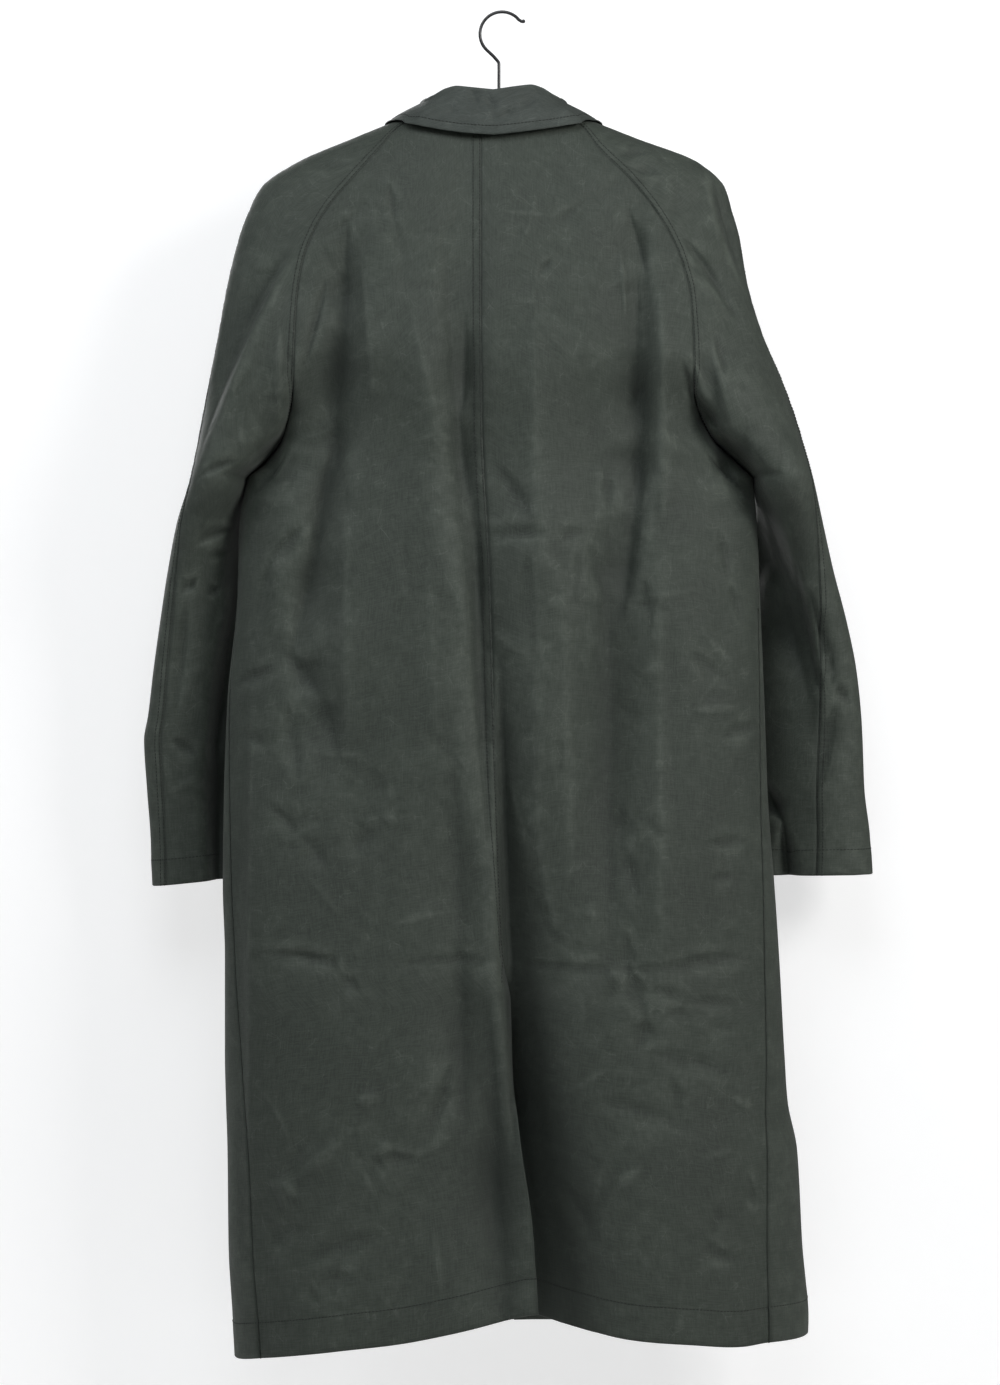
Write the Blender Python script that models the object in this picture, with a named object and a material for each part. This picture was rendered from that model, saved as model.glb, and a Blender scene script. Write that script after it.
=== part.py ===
"""Long raglan windbreaker coat in waxed cotton, hung closed on a plain wire-hooked hanger.

Metres, +Z up. The origin is the inside top of the hook, where a rail carries it. The back of the
coat faces -Y and the wearer's left is at -X. The cloth hangs as two height fields, a back and a
front shell, which part below the underarms into one body tube and two sleeve tubes.
"""
import math
from collections import namedtuple
from types import SimpleNamespace

import bpy
import numpy as np

# Cloth
CLOTH = 0.0014
SEAM_SETBACK = 0.0002
LOBE_POWER = 2.4
SLEEVE_POWER = 2.2
UNDERARM_ROOT = 0.62
ROUND_BELOW = 0.12
EDGE_FADE_POWER = 8
FOLD_END_FADE = 0.12
MATCH_STEP = 0.00005
SAME_WAY = 0.2
SHARP_ANGLE = 40

# Levels down the coat
NECK_SIDE_Z = -0.095
NECK_BACK_Z = -0.108
NECK_FRONT_Z = -0.178
RAGLAN_TOP_Z = -0.102
BLEND_TOP_Z = -0.26
OVERARM_UNDER_Z = -0.425
UNDERARM_Z = -0.441
VENT_TOP_Z = -0.893
HEM_LEVEL_Z = -1.25
FOLDS_PART_OVER = 0.05

# Centre-back vent and centre-front lap
VENT_UNDERLAP = 0.035
VENT_LIFT = 0.004
VENT_LIFT_RUN = 0.020
VENT_LIFT_WIDTH = 0.07
VENT_CLEARANCE = 0.0015
FRONT_LAP = 0.025
FRONT_LIFT = 0.0032
FRONT_LIFT_RUN = 0.03

# Grid counts
BACK_COLUMNS = 14
FRONT_COLUMNS = 13
SLEEVE_BACK_COLUMNS = 8
SLEEVE_FRONT_COLUMNS = 10
ROWS_IN_VENT = 7
ROWS_VENT_TO_UNDERARM = 10
ROWS_ABOVE_UNDERARM = 11
SLEEVE_ROWS_BELOW = 12
OVERARM_SAMPLES = 400

# Silhouette of shoulders and sleeves: the overarm line on each side and its depth
OuterEdge = namedtuple("OuterEdge", "z left right y")
OUTER_EDGE = [
    OuterEdge(-0.095, -0.080, 0.064, 0.000),
    OuterEdge(-0.109, -0.115, 0.100, 0.000),
    OuterEdge(-0.120, -0.142, 0.128, 0.000),
    OuterEdge(-0.143, -0.1955, 0.187, 0.000),
    OuterEdge(-0.166, -0.2285, 0.2115, 0.000),
    OuterEdge(-0.189, -0.2405, 0.2185, 0.000),
    OuterEdge(-0.2115, -0.249, 0.225, 0.000),
    OuterEdge(-0.2575, -0.260, 0.2325, -0.005),
    OuterEdge(-0.3035, -0.268, 0.2455, -0.010),
    OuterEdge(-0.349, -0.2765, 0.2645, -0.010),
    OuterEdge(-0.394, -0.2855, 0.281, -0.005),
    OuterEdge(-0.4395, -0.294, 0.2935, 0.000),
    OuterEdge(-0.4845, -0.309, 0.305, 0.010),
    OuterEdge(-0.530, -0.319, 0.3165, 0.020),
    OuterEdge(-0.5755, -0.3265, 0.329, 0.025),
    OuterEdge(-0.6215, -0.3335, 0.339, 0.030),
    OuterEdge(-0.6675, -0.3395, 0.3445, 0.035),
    OuterEdge(-0.6905, -0.3435, 0.346, 0.037),
    OuterEdge(-0.737, -0.341, 0.348, 0.040),
    OuterEdge(-0.783, -0.338, 0.354, 0.045),
    OuterEdge(-0.830, -0.336, 0.357, 0.045),
]

# Half depths of the whole coat, sleeves included, above the underarms
Shoulder = namedtuple("Shoulder", "z back front")
SHOULDER = [
    Shoulder(-0.095, 0.040, 0.036),
    Shoulder(-0.125, 0.050, 0.045),
    Shoulder(-0.165, 0.062, 0.052),
    Shoulder(-0.210, 0.072, 0.058),
    Shoulder(-0.260, 0.080, 0.062),
    Shoulder(-0.320, 0.087, 0.064),
    Shoulder(-0.380, 0.091, 0.063),
    Shoulder(-0.441, 0.093, 0.060),
]

# Raglan seams, from the neck to the underarm, the same line on back and front
Raglan = namedtuple("Raglan", "z left right")
RAGLAN = [
    Raglan(-0.102, -0.0780, 0.0615),
    Raglan(-0.112, -0.0965, 0.0745),
    Raglan(-0.136, -0.1165, 0.0915),
    Raglan(-0.165, -0.1410, 0.1200),
    Raglan(-0.192, -0.1630, 0.1415),
    Raglan(-0.216, -0.1765, 0.1565),
    Raglan(-0.243, -0.1860, 0.1680),
    Raglan(-0.275, -0.1907, 0.1757),
    Raglan(-0.312, -0.1927, 0.1778),
    Raglan(-0.360, -0.1950, 0.1790),
    Raglan(-0.399, -0.2045, 0.1940),
    Raglan(-0.425, -0.2235, 0.2215),
    Raglan(-0.441, -0.2425, 0.2385),
]

# Body tube below the underarms: edges, half depths, mid plane and how far each side seam
# stands in from the edge on the back
Body = namedtuple("Body", "z left right back front mid inset_left inset_right")
BODY = [
    Body(-0.441, -0.2425, 0.2385, 0.093, 0.060, 0.010, 0.0000, 0.0000),
    Body(-0.485, -0.2495, 0.2425, 0.094, 0.060, 0.006, 0.0000, 0.0000),
    Body(-0.557, -0.2515, 0.245, 0.095, 0.058, 0.002, 0.0010, 0.0030),
    Body(-0.652, -0.2605, 0.249, 0.095, 0.056, 0.000, 0.0035, 0.0060),
    Body(-0.747, -0.264, 0.2525, 0.096, 0.055, 0.000, 0.0075, 0.0090),
    Body(-0.827, -0.265, 0.2585, 0.096, 0.056, 0.000, 0.0105, 0.0130),
    Body(-0.895, -0.263, 0.263, 0.097, 0.058, 0.000, 0.0120, 0.0165),
    Body(-0.987, -0.263, 0.268, 0.100, 0.062, 0.000, 0.0190, 0.0200),
    Body(-1.032, -0.262, 0.271, 0.102, 0.065, 0.000, 0.0215, 0.0240),
    Body(-1.078, -0.2605, 0.280, 0.104, 0.067, 0.000, 0.0235, 0.0320),
    Body(-1.169, -0.2595, 0.285, 0.107, 0.073, 0.000, 0.0265, 0.0375),
    Body(-1.237, -0.2555, 0.2905, 0.109, 0.078, 0.000, 0.0280, 0.0415),
    Body(-1.2725, -0.2535, 0.289, 0.110, 0.080, 0.000, 0.0285, 0.0410),
]

# Sleeve tubes below the underarms: inner edges, their depth, half depths, and the overarm seam's
# place on the ring, from 0 at the outer edge to 1 at the inner edge over the back
Sleeve = namedtuple("Sleeve", "z left right y back front seam_left seam_right")
SLEEVE = [
    Sleeve(-0.300, -0.2425, 0.2385, 0.010, 0.072, 0.058, 0.00, 0.00),
    Sleeve(-0.441, -0.2425, 0.2385, 0.010, 0.072, 0.056, 0.16, 0.18),
    Sleeve(-0.480, -0.2500, 0.2435, 0.036, 0.064, 0.052, 0.22, 0.25),
    Sleeve(-0.520, -0.2460, 0.2440, 0.060, 0.058, 0.048, 0.25, 0.31),
    Sleeve(-0.560, -0.2380, 0.2420, 0.075, 0.055, 0.044, 0.25, 0.36),
    Sleeve(-0.600, -0.2285, 0.2385, 0.083, 0.052, 0.041, 0.25, 0.40),
    Sleeve(-0.680, -0.2180, 0.2330, 0.087, 0.048, 0.038, 0.25, 0.43),
    Sleeve(-0.830, -0.2120, 0.2300, 0.086, 0.042, 0.034, 0.23, 0.47),
]

# Where each cuff ends, at its outer and inner edge
Cuff = namedtuple("Cuff", "side outer_z inner_z")
CUFFS = [
    Cuff("left", -0.830, -0.818),
    Cuff("right", -0.8185, -0.8205),
]

# Centre-back seam, running on as the vent's edge, and the centre front
CentreBack = namedtuple("CentreBack", "z x")
CENTRE_BACK = [
    CentreBack(-0.108, -0.0195),
    CentreBack(-0.281, -0.0195),
    CentreBack(-0.392, -0.0185),
    CentreBack(-0.525, -0.0120),
    CentreBack(-0.724, -0.0055),
    CentreBack(-0.893, 0.0010),
    CentreBack(-0.932, 0.0080),
    CentreBack(-0.998, 0.0100),
    CentreBack(-1.061, 0.0165),
    CentreBack(-1.142, 0.0280),
    CentreBack(-1.216, 0.0325),
]
CentreFront = namedtuple("CentreFront", "z x")
CENTRE_FRONT = [
    CentreFront(-0.178, -0.008),
    CentreFront(-0.600, 0.004),
    CentreFront(-1.260, 0.038),
]

# Hem level across the coat
Hem = namedtuple("Hem", "x back front")
HEM = [
    Hem(-0.2535, -1.2725, -1.2725),
    Hem(-0.2255, -1.2655, -1.2700),
    Hem(-0.1500, -1.2520, -1.2640),
    Hem(-0.0945, -1.2450, -1.2590),
    Hem(-0.0480, -1.2360, -1.2560),
    Hem(-0.0020, -1.2255, -1.2540),
    Hem(0.0345, -1.2170, -1.2530),
    Hem(0.0540, -1.2235, -1.2530),
    Hem(0.0910, -1.2330, -1.2530),
    Hem(0.1370, -1.2425, -1.2530),
    Hem(0.1835, -1.2470, -1.2520),
    Hem(0.2270, -1.2515, -1.2515),
    Hem(0.2480, -1.2500, -1.2510),
    Hem(0.2890, -1.2505, -1.2505),
]

# The largest folds. Each runs from its top to its foot with a sideways bow halfway, and sinks by
# the three depths along it; a ridge has negative depths.
Fold = namedtuple("Fold", "top_x top_z foot_x foot_z bow left_width right_width top middle foot")
BACK_FOLDS = [
    Fold(-0.139, -0.197, -0.178, -0.522, 0.008, 0.018, 0.030, 0.002, 0.014, 0.004),
    Fold(0.128, -0.201, 0.119, -0.520, 0.010, 0.035, 0.016, 0.002, 0.016, 0.008),
    Fold(0.119, -0.500, 0.091, -0.820, -0.006, 0.035, 0.030, 0.005, 0.009, 0.002),
    Fold(-0.031, -0.140, -0.034, -0.447, 0.004, 0.024, 0.014, 0.003, 0.007, 0.002),
    Fold(-0.002, -0.605, 0.050, -1.240, 0.003, 0.014, 0.050, 0.002, 0.016, 0.024),
    Fold(-0.032, -0.717, -0.034, -0.967, 0.000, 0.035, 0.022, 0.001, 0.007, 0.002),
    Fold(-0.205, -0.585, -0.150, -0.740, 0.004, 0.020, 0.024, 0.002, 0.007, 0.001),
    Fold(-0.090, -0.230, -0.045, -0.570, 0.006, 0.030, 0.030, 0.000, -0.006, 0.000),
    Fold(-0.150, -0.800, -0.165, -1.240, 0.000, 0.060, 0.060, 0.000, -0.006, -0.011),
    Fold(0.140, -0.800, 0.160, -1.240, 0.000, 0.055, 0.060, 0.000, -0.006, -0.011),
]
FRONT_FOLDS = [
    Fold(-0.120, -0.230, -0.150, -0.560, 0.006, 0.028, 0.020, 0.002, 0.010, 0.002),
    Fold(0.115, -0.230, 0.140, -0.560, -0.006, 0.020, 0.028, 0.002, 0.010, 0.002),
    Fold(-0.100, -0.640, -0.115, -1.250, 0.005, 0.035, 0.030, 0.000, 0.006, 0.014),
    Fold(0.130, -0.700, 0.150, -1.250, -0.004, 0.030, 0.035, 0.000, 0.005, 0.012),
]
SLEEVE_FOLDS = [
    Fold(-0.216, -0.252, -0.292, -0.446, -0.004, 0.014, 0.030, 0.000, -0.008, -0.002),
    Fold(0.240, -0.455, 0.292, -0.660, 0.004, 0.040, 0.010, 0.000, 0.014, 0.004),
    Fold(0.205, -0.200, 0.222, -0.330, 0.004, 0.016, 0.020, 0.000, 0.006, 0.001),
]

# Collar: at each angle from the centre back, how high the fold line stands over the neck seam,
# how far it leans out, and how far the fall's edge reaches out and drops
Collar = namedtuple("Collar", "angle stand lean reach drop")
COLLAR = [
    Collar(0, 0.0270, 0.002, 0.013, 0.0155),
    Collar(32, 0.0310, -0.004, 0.014, 0.0120),
    Collar(57, 0.0200, -0.025, 0.020, 0.0080),
    Collar(90, 0.0105, -0.008, 0.031, 0.0105),
    Collar(115, 0.0110, -0.008, 0.024, 0.0250),
    Collar(140, 0.0140, -0.004, 0.018, 0.0480),
    Collar(165, 0.0140, -0.002, 0.016, 0.0700),
    Collar(180, 0.0120, -0.002, 0.014, 0.0740),
]
COLLAR_END_GAP = 0.012
COLLAR_SPREAD = 0.045
COLLAR_ROLL = 0.0034
FALL_BULGE = 0.0025
COLLAR_SEAM_GAP = 0.0005
COLLAR_CLEARANCE = 0.0034
COLLAR_OPENS_AT = 120
COLLAR_SPREADS_OVER = 60
COLLAR_LIFTS_OVER = 40
CLEARING_ROUNDS = 12
SLOPE_STEP = 0.0005
COLLAR_FRONT_COLUMNS = 5
COLLAR_SLEEVE_COLUMNS = 3
COLLAR_BACK_COLUMNS = 6
STAND_ROWS = 3
ROLL_ROWS = 4
FALL_ROWS = 4

# Buttons down the centre front, each turned from a profile given in shares of radius and thickness
BUTTON_HEIGHTS = [-0.235, -0.365, -0.495, -0.625, -0.755]
BUTTON_RADIUS = 0.011
BUTTON_THICKNESS = 0.0036
BUTTON_GAP = 0.0004
BUTTON_SIDES = 20
Turn = namedtuple("Turn", "radius height")
BUTTON_PROFILE = [
    Turn(0.00, 0.00),
    Turn(0.80, 0.00),
    Turn(1.00, 0.45),
    Turn(0.96, 0.90),
    Turn(0.86, 1.00),
    Turn(0.72, 0.62),
    Turn(0.00, 0.62),
]

# Hanger
WIRE_RADIUS = 0.0015
HOOK_RADIUS = 0.021
HOOK_START_ANGLE = 218
HOOK_END_ANGLE = 40
HOOK_ARC_POINTS = 18
STEM_X = -0.003
STEM_TOP_Z = -0.048
STEM_BEND_LENGTH = 0.012
STEM_LEAN_X = 0.0035
STEM_LEAN_Z = 0.0055
HOOK_TIP_REACH = 0.006
HOOK_TIP_DROP = 0.001
HOOK_TIP_SAG = 0.0016
HOOK_KNOB = 1.35
BAR_CENTRE_TOP_Z = -0.0905
BAR_LEFT_X = -0.178
BAR_RIGHT_X = 0.162
BAR_CLEARANCE = 0.0006
BAR_HEIGHT = 0.032
BAR_HALF_WIDTH = 0.0085
BAR_SECTIONS = 22
BAR_SIDES = 12
BAR_END_TAPER = 0.012
BAR_END_ROUNDING = 0.75
BAR_SEAT_GAP = 0.0003

# Finishes, with linear colours
Finish = namedtuple("Finish", "name colour roughness metallic")
CLOTH_FINISH = Finish("waxed_cotton", (0.047, 0.052, 0.045, 1.0), 0.80, 0.0)
COLLAR_FINISH = Finish("waxed_cotton_collar", (0.058, 0.065, 0.060, 1.0), 0.80, 0.0)
BUTTON_FINISH = Finish("dark_horn", (0.020, 0.017, 0.014, 1.0), 0.40, 0.0)
WIRE_FINISH = Finish("black_wire", (0.012, 0.012, 0.012, 1.0), 0.35, 1.0)
BAR_FINISH = Finish("dark_wood", (0.030, 0.026, 0.022, 1.0), 0.50, 0.0)

SIDE_SIGN = {"left": -1.0, "right": 1.0}


# Curves through the tables

def smooth_through(knots, values):
    """A curve through the points that doesn't overshoot between them."""
    order = np.argsort(knots)
    x = np.asarray(knots, float)[order]
    y = np.asarray(values, float)[order]
    step = np.diff(x)
    rise = np.diff(y) / step
    slope = np.zeros_like(y)
    slope[0] = rise[0]
    slope[-1] = rise[-1]
    for i in range(1, len(x) - 1):
        if rise[i - 1] * rise[i] > 0:
            slope[i] = 2 * rise[i - 1] * rise[i] / (rise[i - 1] + rise[i])

    def value(at):
        at = np.clip(np.asarray(at, float), x[0], x[-1])
        i = np.clip(np.searchsorted(x, at) - 1, 0, len(x) - 2)
        t = (at - x[i]) / step[i]
        start = y[i] * (1 + 2 * t) * (1 - t) ** 2 + slope[i] * step[i] * t * (1 - t) ** 2
        end = y[i + 1] * t * t * (3 - 2 * t) + slope[i + 1] * step[i] * t * t * (t - 1)
        return start + end

    return value


def curves(table):
    """One curve for each column of a table, against its first column."""
    names = table[0]._fields
    keys = [row[0] for row in table]
    found = {}
    for index, name in enumerate(names[1:], start=1):
        found[name] = smooth_through(keys, [row[index] for row in table])
    return SimpleNamespace(**found)


outer = curves(OUTER_EDGE)
shoulder = curves(SHOULDER)
raglan = curves(RAGLAN)
body = curves(BODY)
sleeve = curves(SLEEVE)
centre_back = curves(CENTRE_BACK).x
centre_front = curves(CENTRE_FRONT).x
hem = curves(HEM)
collar_table = curves(COLLAR)


def ease(t):
    """Smooth step from 0 to 1."""
    t = np.clip(t, 0.0, 1.0)
    return t * t * (3 - 2 * t)


def lobe(position, power, root):
    """Rounded section: 1 in the middle and 0 at the edges, where position is -1 and 1."""
    return np.clip(1.0 - np.abs(position) ** power, 0.0, 1.0) ** root


# The cloth's shape

def split(z):
    """How far the body and the sleeves have parted at a level, from 0 to 1."""
    return ease((BLEND_TOP_Z - z) / (BLEND_TOP_Z - UNDERARM_Z))


def edge_root(power, z):
    """How sharply a tube turns at its edges: a crease at the underarm, round further down."""
    creased = 1 + (UNDERARM_ROOT - 1) * split(z)
    return creased + (1 / power - UNDERARM_ROOT) * ease((UNDERARM_Z - z) / ROUND_BELOW)


def body_edge(side, z):
    """Edge of the body: its silhouette below the underarm and the raglan seam above."""
    low = getattr(body, side)(z)
    high = getattr(raglan, side)(z)
    return np.where(z <= UNDERARM_Z, low, high)


def sleeve_inner(side, z):
    """Inner edge of a sleeve: its silhouette below the underarm and the raglan seam above."""
    low = getattr(sleeve, side)(z)
    high = getattr(raglan, side)(z)
    return np.where(z <= UNDERARM_Z, low, high)


def fold_depth(folds, x, z):
    """How far the folds sink into the coat at a point."""
    total = np.zeros(np.broadcast(x, z).shape)
    for fold in folds:
        along = (fold.top_z - z) / (fold.top_z - fold.foot_z)
        inside = np.clip(along, 0.0, 1.0)
        line = fold.top_x + (fold.foot_x - fold.top_x) * inside + 4 * fold.bow * inside * (1 - inside)
        width = np.where(x < line, fold.left_width, fold.right_width)
        early = (1 - inside) * (1 - 2 * inside)
        late = inside * (2 * inside - 1)
        depth = fold.top * early + 4 * fold.middle * inside * (1 - inside) + fold.foot * late
        beyond = np.exp(-((along - inside) / FOLD_END_FADE) ** 2)
        total = total + depth * beyond * np.exp(-((x - line) / width) ** 2)
    return total


def whole_section(x, z, face):
    """Depth and edge distance of the coat taken as one tube; face is -1 for back, 1 for front."""
    left = outer.left(z)
    right = outer.right(z)
    across = np.clip((2 * x - left - right) / (right - left), -1.0, 1.0)
    mid = body.mid(UNDERARM_Z) * (1 - across ** 2) * split(z) + outer.y(z) * across ** 2
    half = shoulder.back(z) if face < 0 else shoulder.front(z)
    return mid + face * half * lobe(across, LOBE_POWER, 1 / LOBE_POWER), across


def body_section(x, z, face):
    """Depth and edge distance of the body tube."""
    left = body_edge("left", z)
    right = body_edge("right", z)
    across = np.clip((2 * x - left - right) / (right - left), -1.0, 1.0)
    half = body.back(z) if face < 0 else body.front(z)
    return body.mid(z) + face * half * lobe(across, LOBE_POWER, edge_root(LOBE_POWER, z)), across


def sleeve_section(side, x, z, face):
    """Depth and edge distance of a sleeve tube."""
    inner = sleeve_inner(side, z)
    edge = getattr(outer, side)(z)
    out = np.clip((x - inner) / (edge - inner), 0.0, 1.0)
    mid = sleeve.y(z) * (1 - out) + outer.y(z) * out
    half = sleeve.back(z) if face < 0 else sleeve.front(z)
    across = 2 * out - 1
    return mid + face * half * lobe(across, SLEEVE_POWER, edge_root(SLEEVE_POWER, z)), across


def shell(piece, side, x, z, face):
    """Depth of the cloth at a point of the body or of a sleeve."""
    x = np.asarray(x, float)
    z = np.asarray(z, float)
    whole, whole_across = whole_section(x, z, face)
    if piece == "body":
        own, own_across = body_section(x, z, face)
    else:
        own, own_across = sleeve_section(side, x, z, face)
    parted = split(z)
    depth = whole * (1 - parted) + own * parted
    body_folds = BACK_FOLDS if face < 0 else FRONT_FOLDS
    sleeve_folds = SLEEVE_FOLDS if face < 0 else []
    near_other = 1 - ease((UNDERARM_Z - z) / FOLDS_PART_OVER)
    if piece == "body":
        sink = fold_depth(body_folds, x, z) + near_other * fold_depth(sleeve_folds, x, z)
    else:
        sink = fold_depth(sleeve_folds, x, z) + near_other * fold_depth(body_folds, x, z)
    across = np.abs(whole_across) * (1 - parted) + np.abs(own_across) * parted
    return depth - face * sink * (1 - across ** EDGE_FADE_POWER)


# Panels, each a grid of points with its columns across and its rows from hem to neck

def body_rows():
    """Heights of the body's rows as fractions, hem to underarm and underarm to neck."""
    reach = UNDERARM_Z - float(hem.back(centre_back(HEM_LEVEL_Z)))
    vent = (VENT_TOP_Z + reach - UNDERARM_Z) / reach
    vent_lifted = vent - VENT_LIFT_RUN / reach
    low = np.concatenate([
        np.linspace(0.0, vent_lifted, ROWS_IN_VENT, endpoint=False),
        [vent_lifted],
        np.linspace(vent, 1.0, ROWS_VENT_TO_UNDERARM + 1),
    ])
    high = np.linspace(0.0, 1.0, ROWS_ABOVE_UNDERARM + 1)[1:]
    return low, high


def rows_of_heights(hem_z, neck_z):
    """Height of each grid point, from the hem's and the neck's height at each column."""
    low, high = body_rows()
    below = hem_z[None, :] + (UNDERARM_Z - hem_z)[None, :] * low[:, None]
    above = UNDERARM_Z + (neck_z - UNDERARM_Z)[None, :] * high[:, None]
    return np.vstack([below, above])


def side_seam(side, z):
    """Side seam's place on the back, or the raglan seam above the underarm."""
    inset = getattr(body, "inset_" + side)(z)
    return body_edge(side, z) - SIDE_SIGN[side] * np.where(z <= UNDERARM_Z, inset, 0.0)


def spread(columns, z):
    """Share of the way across at each column: even above, closer at a rounded edge lower down."""
    return columns + (np.sin(columns * math.pi / 2) - columns) * split(z)


def underlap(z):
    """Width of the right panel's vent extension at a level."""
    return VENT_UNDERLAP * ease((VENT_TOP_Z - VENT_LIFT_RUN - z) / VENT_LIFT_RUN)


def vent_lift(x, z):
    """How far the left panel stands off along the vent to lie over the right one."""
    down = ease((VENT_TOP_Z - z) / VENT_LIFT_RUN)
    return VENT_LIFT * down * (1 - ease((centre_back(z) - x) / VENT_LIFT_WIDTH))


def back_panel(side):
    """One half of the back, from the centre-back seam to the side and raglan seams."""
    columns = np.linspace(0.0, 1.0, BACK_COLUMNS + 1)
    start = float(centre_back(HEM_LEVEL_Z))
    hem_x = start + (float(side_seam(side, HEM_LEVEL_Z)) - start) * spread(columns, HEM_LEVEL_Z)
    neck_z = NECK_BACK_Z + (RAGLAN_TOP_Z - NECK_BACK_Z) * columns ** 2
    z = rows_of_heights(hem.back(hem_x), neck_z)
    seam = centre_back(z)
    inner = seam if side == "left" else seam - underlap(z)
    x = inner + (side_seam(side, z) - inner) * spread(columns[None, :], z)
    y = shell("body", side, x, z, -1)
    lapped = y - vent_lift(x, z)
    if side == "left":
        y = lapped
    else:
        at_edge = shell("body", side, seam, z, -1)
        under = np.maximum(at_edge, lapped + CLOTH + VENT_CLEARANCE)
        y = np.where(x < seam, under, y)
    return np.stack([x, y, z], axis=-1)


def front_edge(side, z):
    """Free edge of a front, past the centre front by the lap."""
    return centre_front(z) - SIDE_SIGN[side] * FRONT_LAP


def front_lift(x, z):
    """How far the left front stands off to lie over the right one."""
    return FRONT_LIFT * ease((x - centre_front(z) + FRONT_LAP + 2 * FRONT_LIFT_RUN) / FRONT_LIFT_RUN)


def front_panel(side):
    """One front, from its free edge round the side to the side seam on the back."""
    columns = np.linspace(0.0, 1.0, FRONT_COLUMNS + 1)
    edge = float(body_edge(side, HEM_LEVEL_Z))
    free = float(front_edge(side, HEM_LEVEL_Z))
    turn = 2 / math.pi * math.acos((float(side_seam(side, HEM_LEVEL_Z)) - free) / (edge - free))
    hem_turns = columns * (1 + turn)
    hem_x = free + (edge - free) * spread(hem_turns, HEM_LEVEL_Z)
    hem_z = np.where(hem_turns <= 1, hem.front(hem_x), hem.back(hem_x))
    neck_z = RAGLAN_TOP_Z + (NECK_FRONT_Z - RAGLAN_TOP_Z) * np.cos(columns * math.pi / 2)
    z = rows_of_heights(hem_z, neck_z)
    free = front_edge(side, z)
    edge = body_edge(side, z)
    turn = 2 / math.pi * np.arccos(np.clip((side_seam(side, z) - free) / (edge - free), 0.0, 1.0))
    turns = columns[None, :] * (1 + turn)
    x = free + (edge - free) * spread(turns, z)
    y = np.where(turns <= 1, shell("body", side, x, z, 1), shell("body", side, x, z, -1))
    if side == "left":
        y = y + front_lift(x, z) * (turns <= 1)
    return np.stack([x, y, z], axis=-1)


def overarm_points(side, fractions):
    """Points on the overarm line by the share of its length from the underarm level to the neck."""
    z = np.linspace(OVERARM_UNDER_Z, NECK_SIDE_Z, OVERARM_SAMPLES)
    x = getattr(outer, side)(z)
    length = np.concatenate([[0.0], np.cumsum(np.hypot(np.diff(x), np.diff(z)))])
    at = np.asarray(fractions) * length[-1]
    return np.interp(at, length, x), np.interp(at, length, z)


def sleeve_stations(side):
    """Ends of each sleeve ring, on the overarm line and on the inner edge, from cuff to neck."""
    cuff = next(row for row in CUFFS if row.side == side)
    low = np.linspace(0.0, 1.0, SLEEVE_ROWS_BELOW + 1)
    _, high = body_rows()
    out_z = cuff.outer_z + (OVERARM_UNDER_Z - cuff.outer_z) * low
    out_x = getattr(outer, side)(out_z)
    high_x, high_z = overarm_points(side, high)
    in_z = np.concatenate([
        cuff.inner_z + (UNDERARM_Z - cuff.inner_z) * low,
        UNDERARM_Z + (RAGLAN_TOP_Z - UNDERARM_Z) * high,
    ])
    in_x = sleeve_inner(side, in_z)
    return np.concatenate([out_x, high_x]), np.concatenate([out_z, high_z]), in_x, in_z


def sleeve_panel(side, half):
    """The back or front half of a sleeve, between the overarm seam and the inner edge."""
    out_x, out_z, in_x, in_z = sleeve_stations(side)
    seam = getattr(sleeve, "seam_" + side)(out_z)
    count = SLEEVE_BACK_COLUMNS if half == "back" else SLEEVE_FRONT_COLUMNS
    columns = np.linspace(0.0, 1.0, count + 1)[None, :]
    end = 1.0 if half == "back" else -1.0
    ring = seam[:, None] + (end - seam[:, None]) * columns
    parted = split(in_z)[:, None]
    share = (1 - np.cos(ring * math.pi)) / 2 * parted + (1 - np.cos(ring * math.pi / 2)) * (1 - parted)
    x = out_x[:, None] + (in_x - out_x)[:, None] * share
    z = out_z[:, None] + (in_z - out_z)[:, None] * share
    back = shell("sleeve", side, x, z, -1)
    front = shell("sleeve", side, x, z, 1)
    return np.stack([x, np.where(ring >= 0, back, front), z], axis=-1)


# Walls

def grid_normals(grid, outward):
    """Unit normals of a grid, on the side that the outward test picks."""
    along = np.gradient(grid, axis=0)
    across = np.gradient(grid, axis=1)
    normal = np.cross(across, along)
    normal /= np.linalg.norm(normal, axis=-1, keepdims=True)
    return normal * outward


def shared_normals(grids, normals):
    """Average the normals where panels meet and face the same way, so that walls end side by side."""
    meeting = {}
    for name, grid in grids.items():
        for point, normal in zip(grid.reshape(-1, 3), normals[name].reshape(-1, 3)):
            meeting.setdefault(tuple(np.round(point / MATCH_STEP).astype(int)), []).append(normal)
    shared = {}
    for name, grid in grids.items():
        found = []
        for point, normal in zip(grid.reshape(-1, 3), normals[name].reshape(-1, 3)):
            others = meeting[tuple(np.round(point / MATCH_STEP).astype(int))]
            total = sum(other for other in others if other @ normal > SAME_WAY)
            found.append(total / np.linalg.norm(total))
        shared[name] = np.array(found).reshape(grid.shape)
    return shared


def draw_back(grid, distance):
    """Move a grid's border in by a distance, to leave the seam's gap."""
    moved = grid.copy()
    for edge, inside in ((0, 1), (-1, -2)):
        step = grid[inside] - grid[edge]
        moved[edge] += distance * step / np.linalg.norm(step, axis=-1, keepdims=True)
    for edge, inside in ((0, 1), (-1, -2)):
        step = grid[:, inside] - grid[:, edge]
        moved[:, edge] += distance * step / np.linalg.norm(step, axis=-1, keepdims=True)
    return moved


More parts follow.
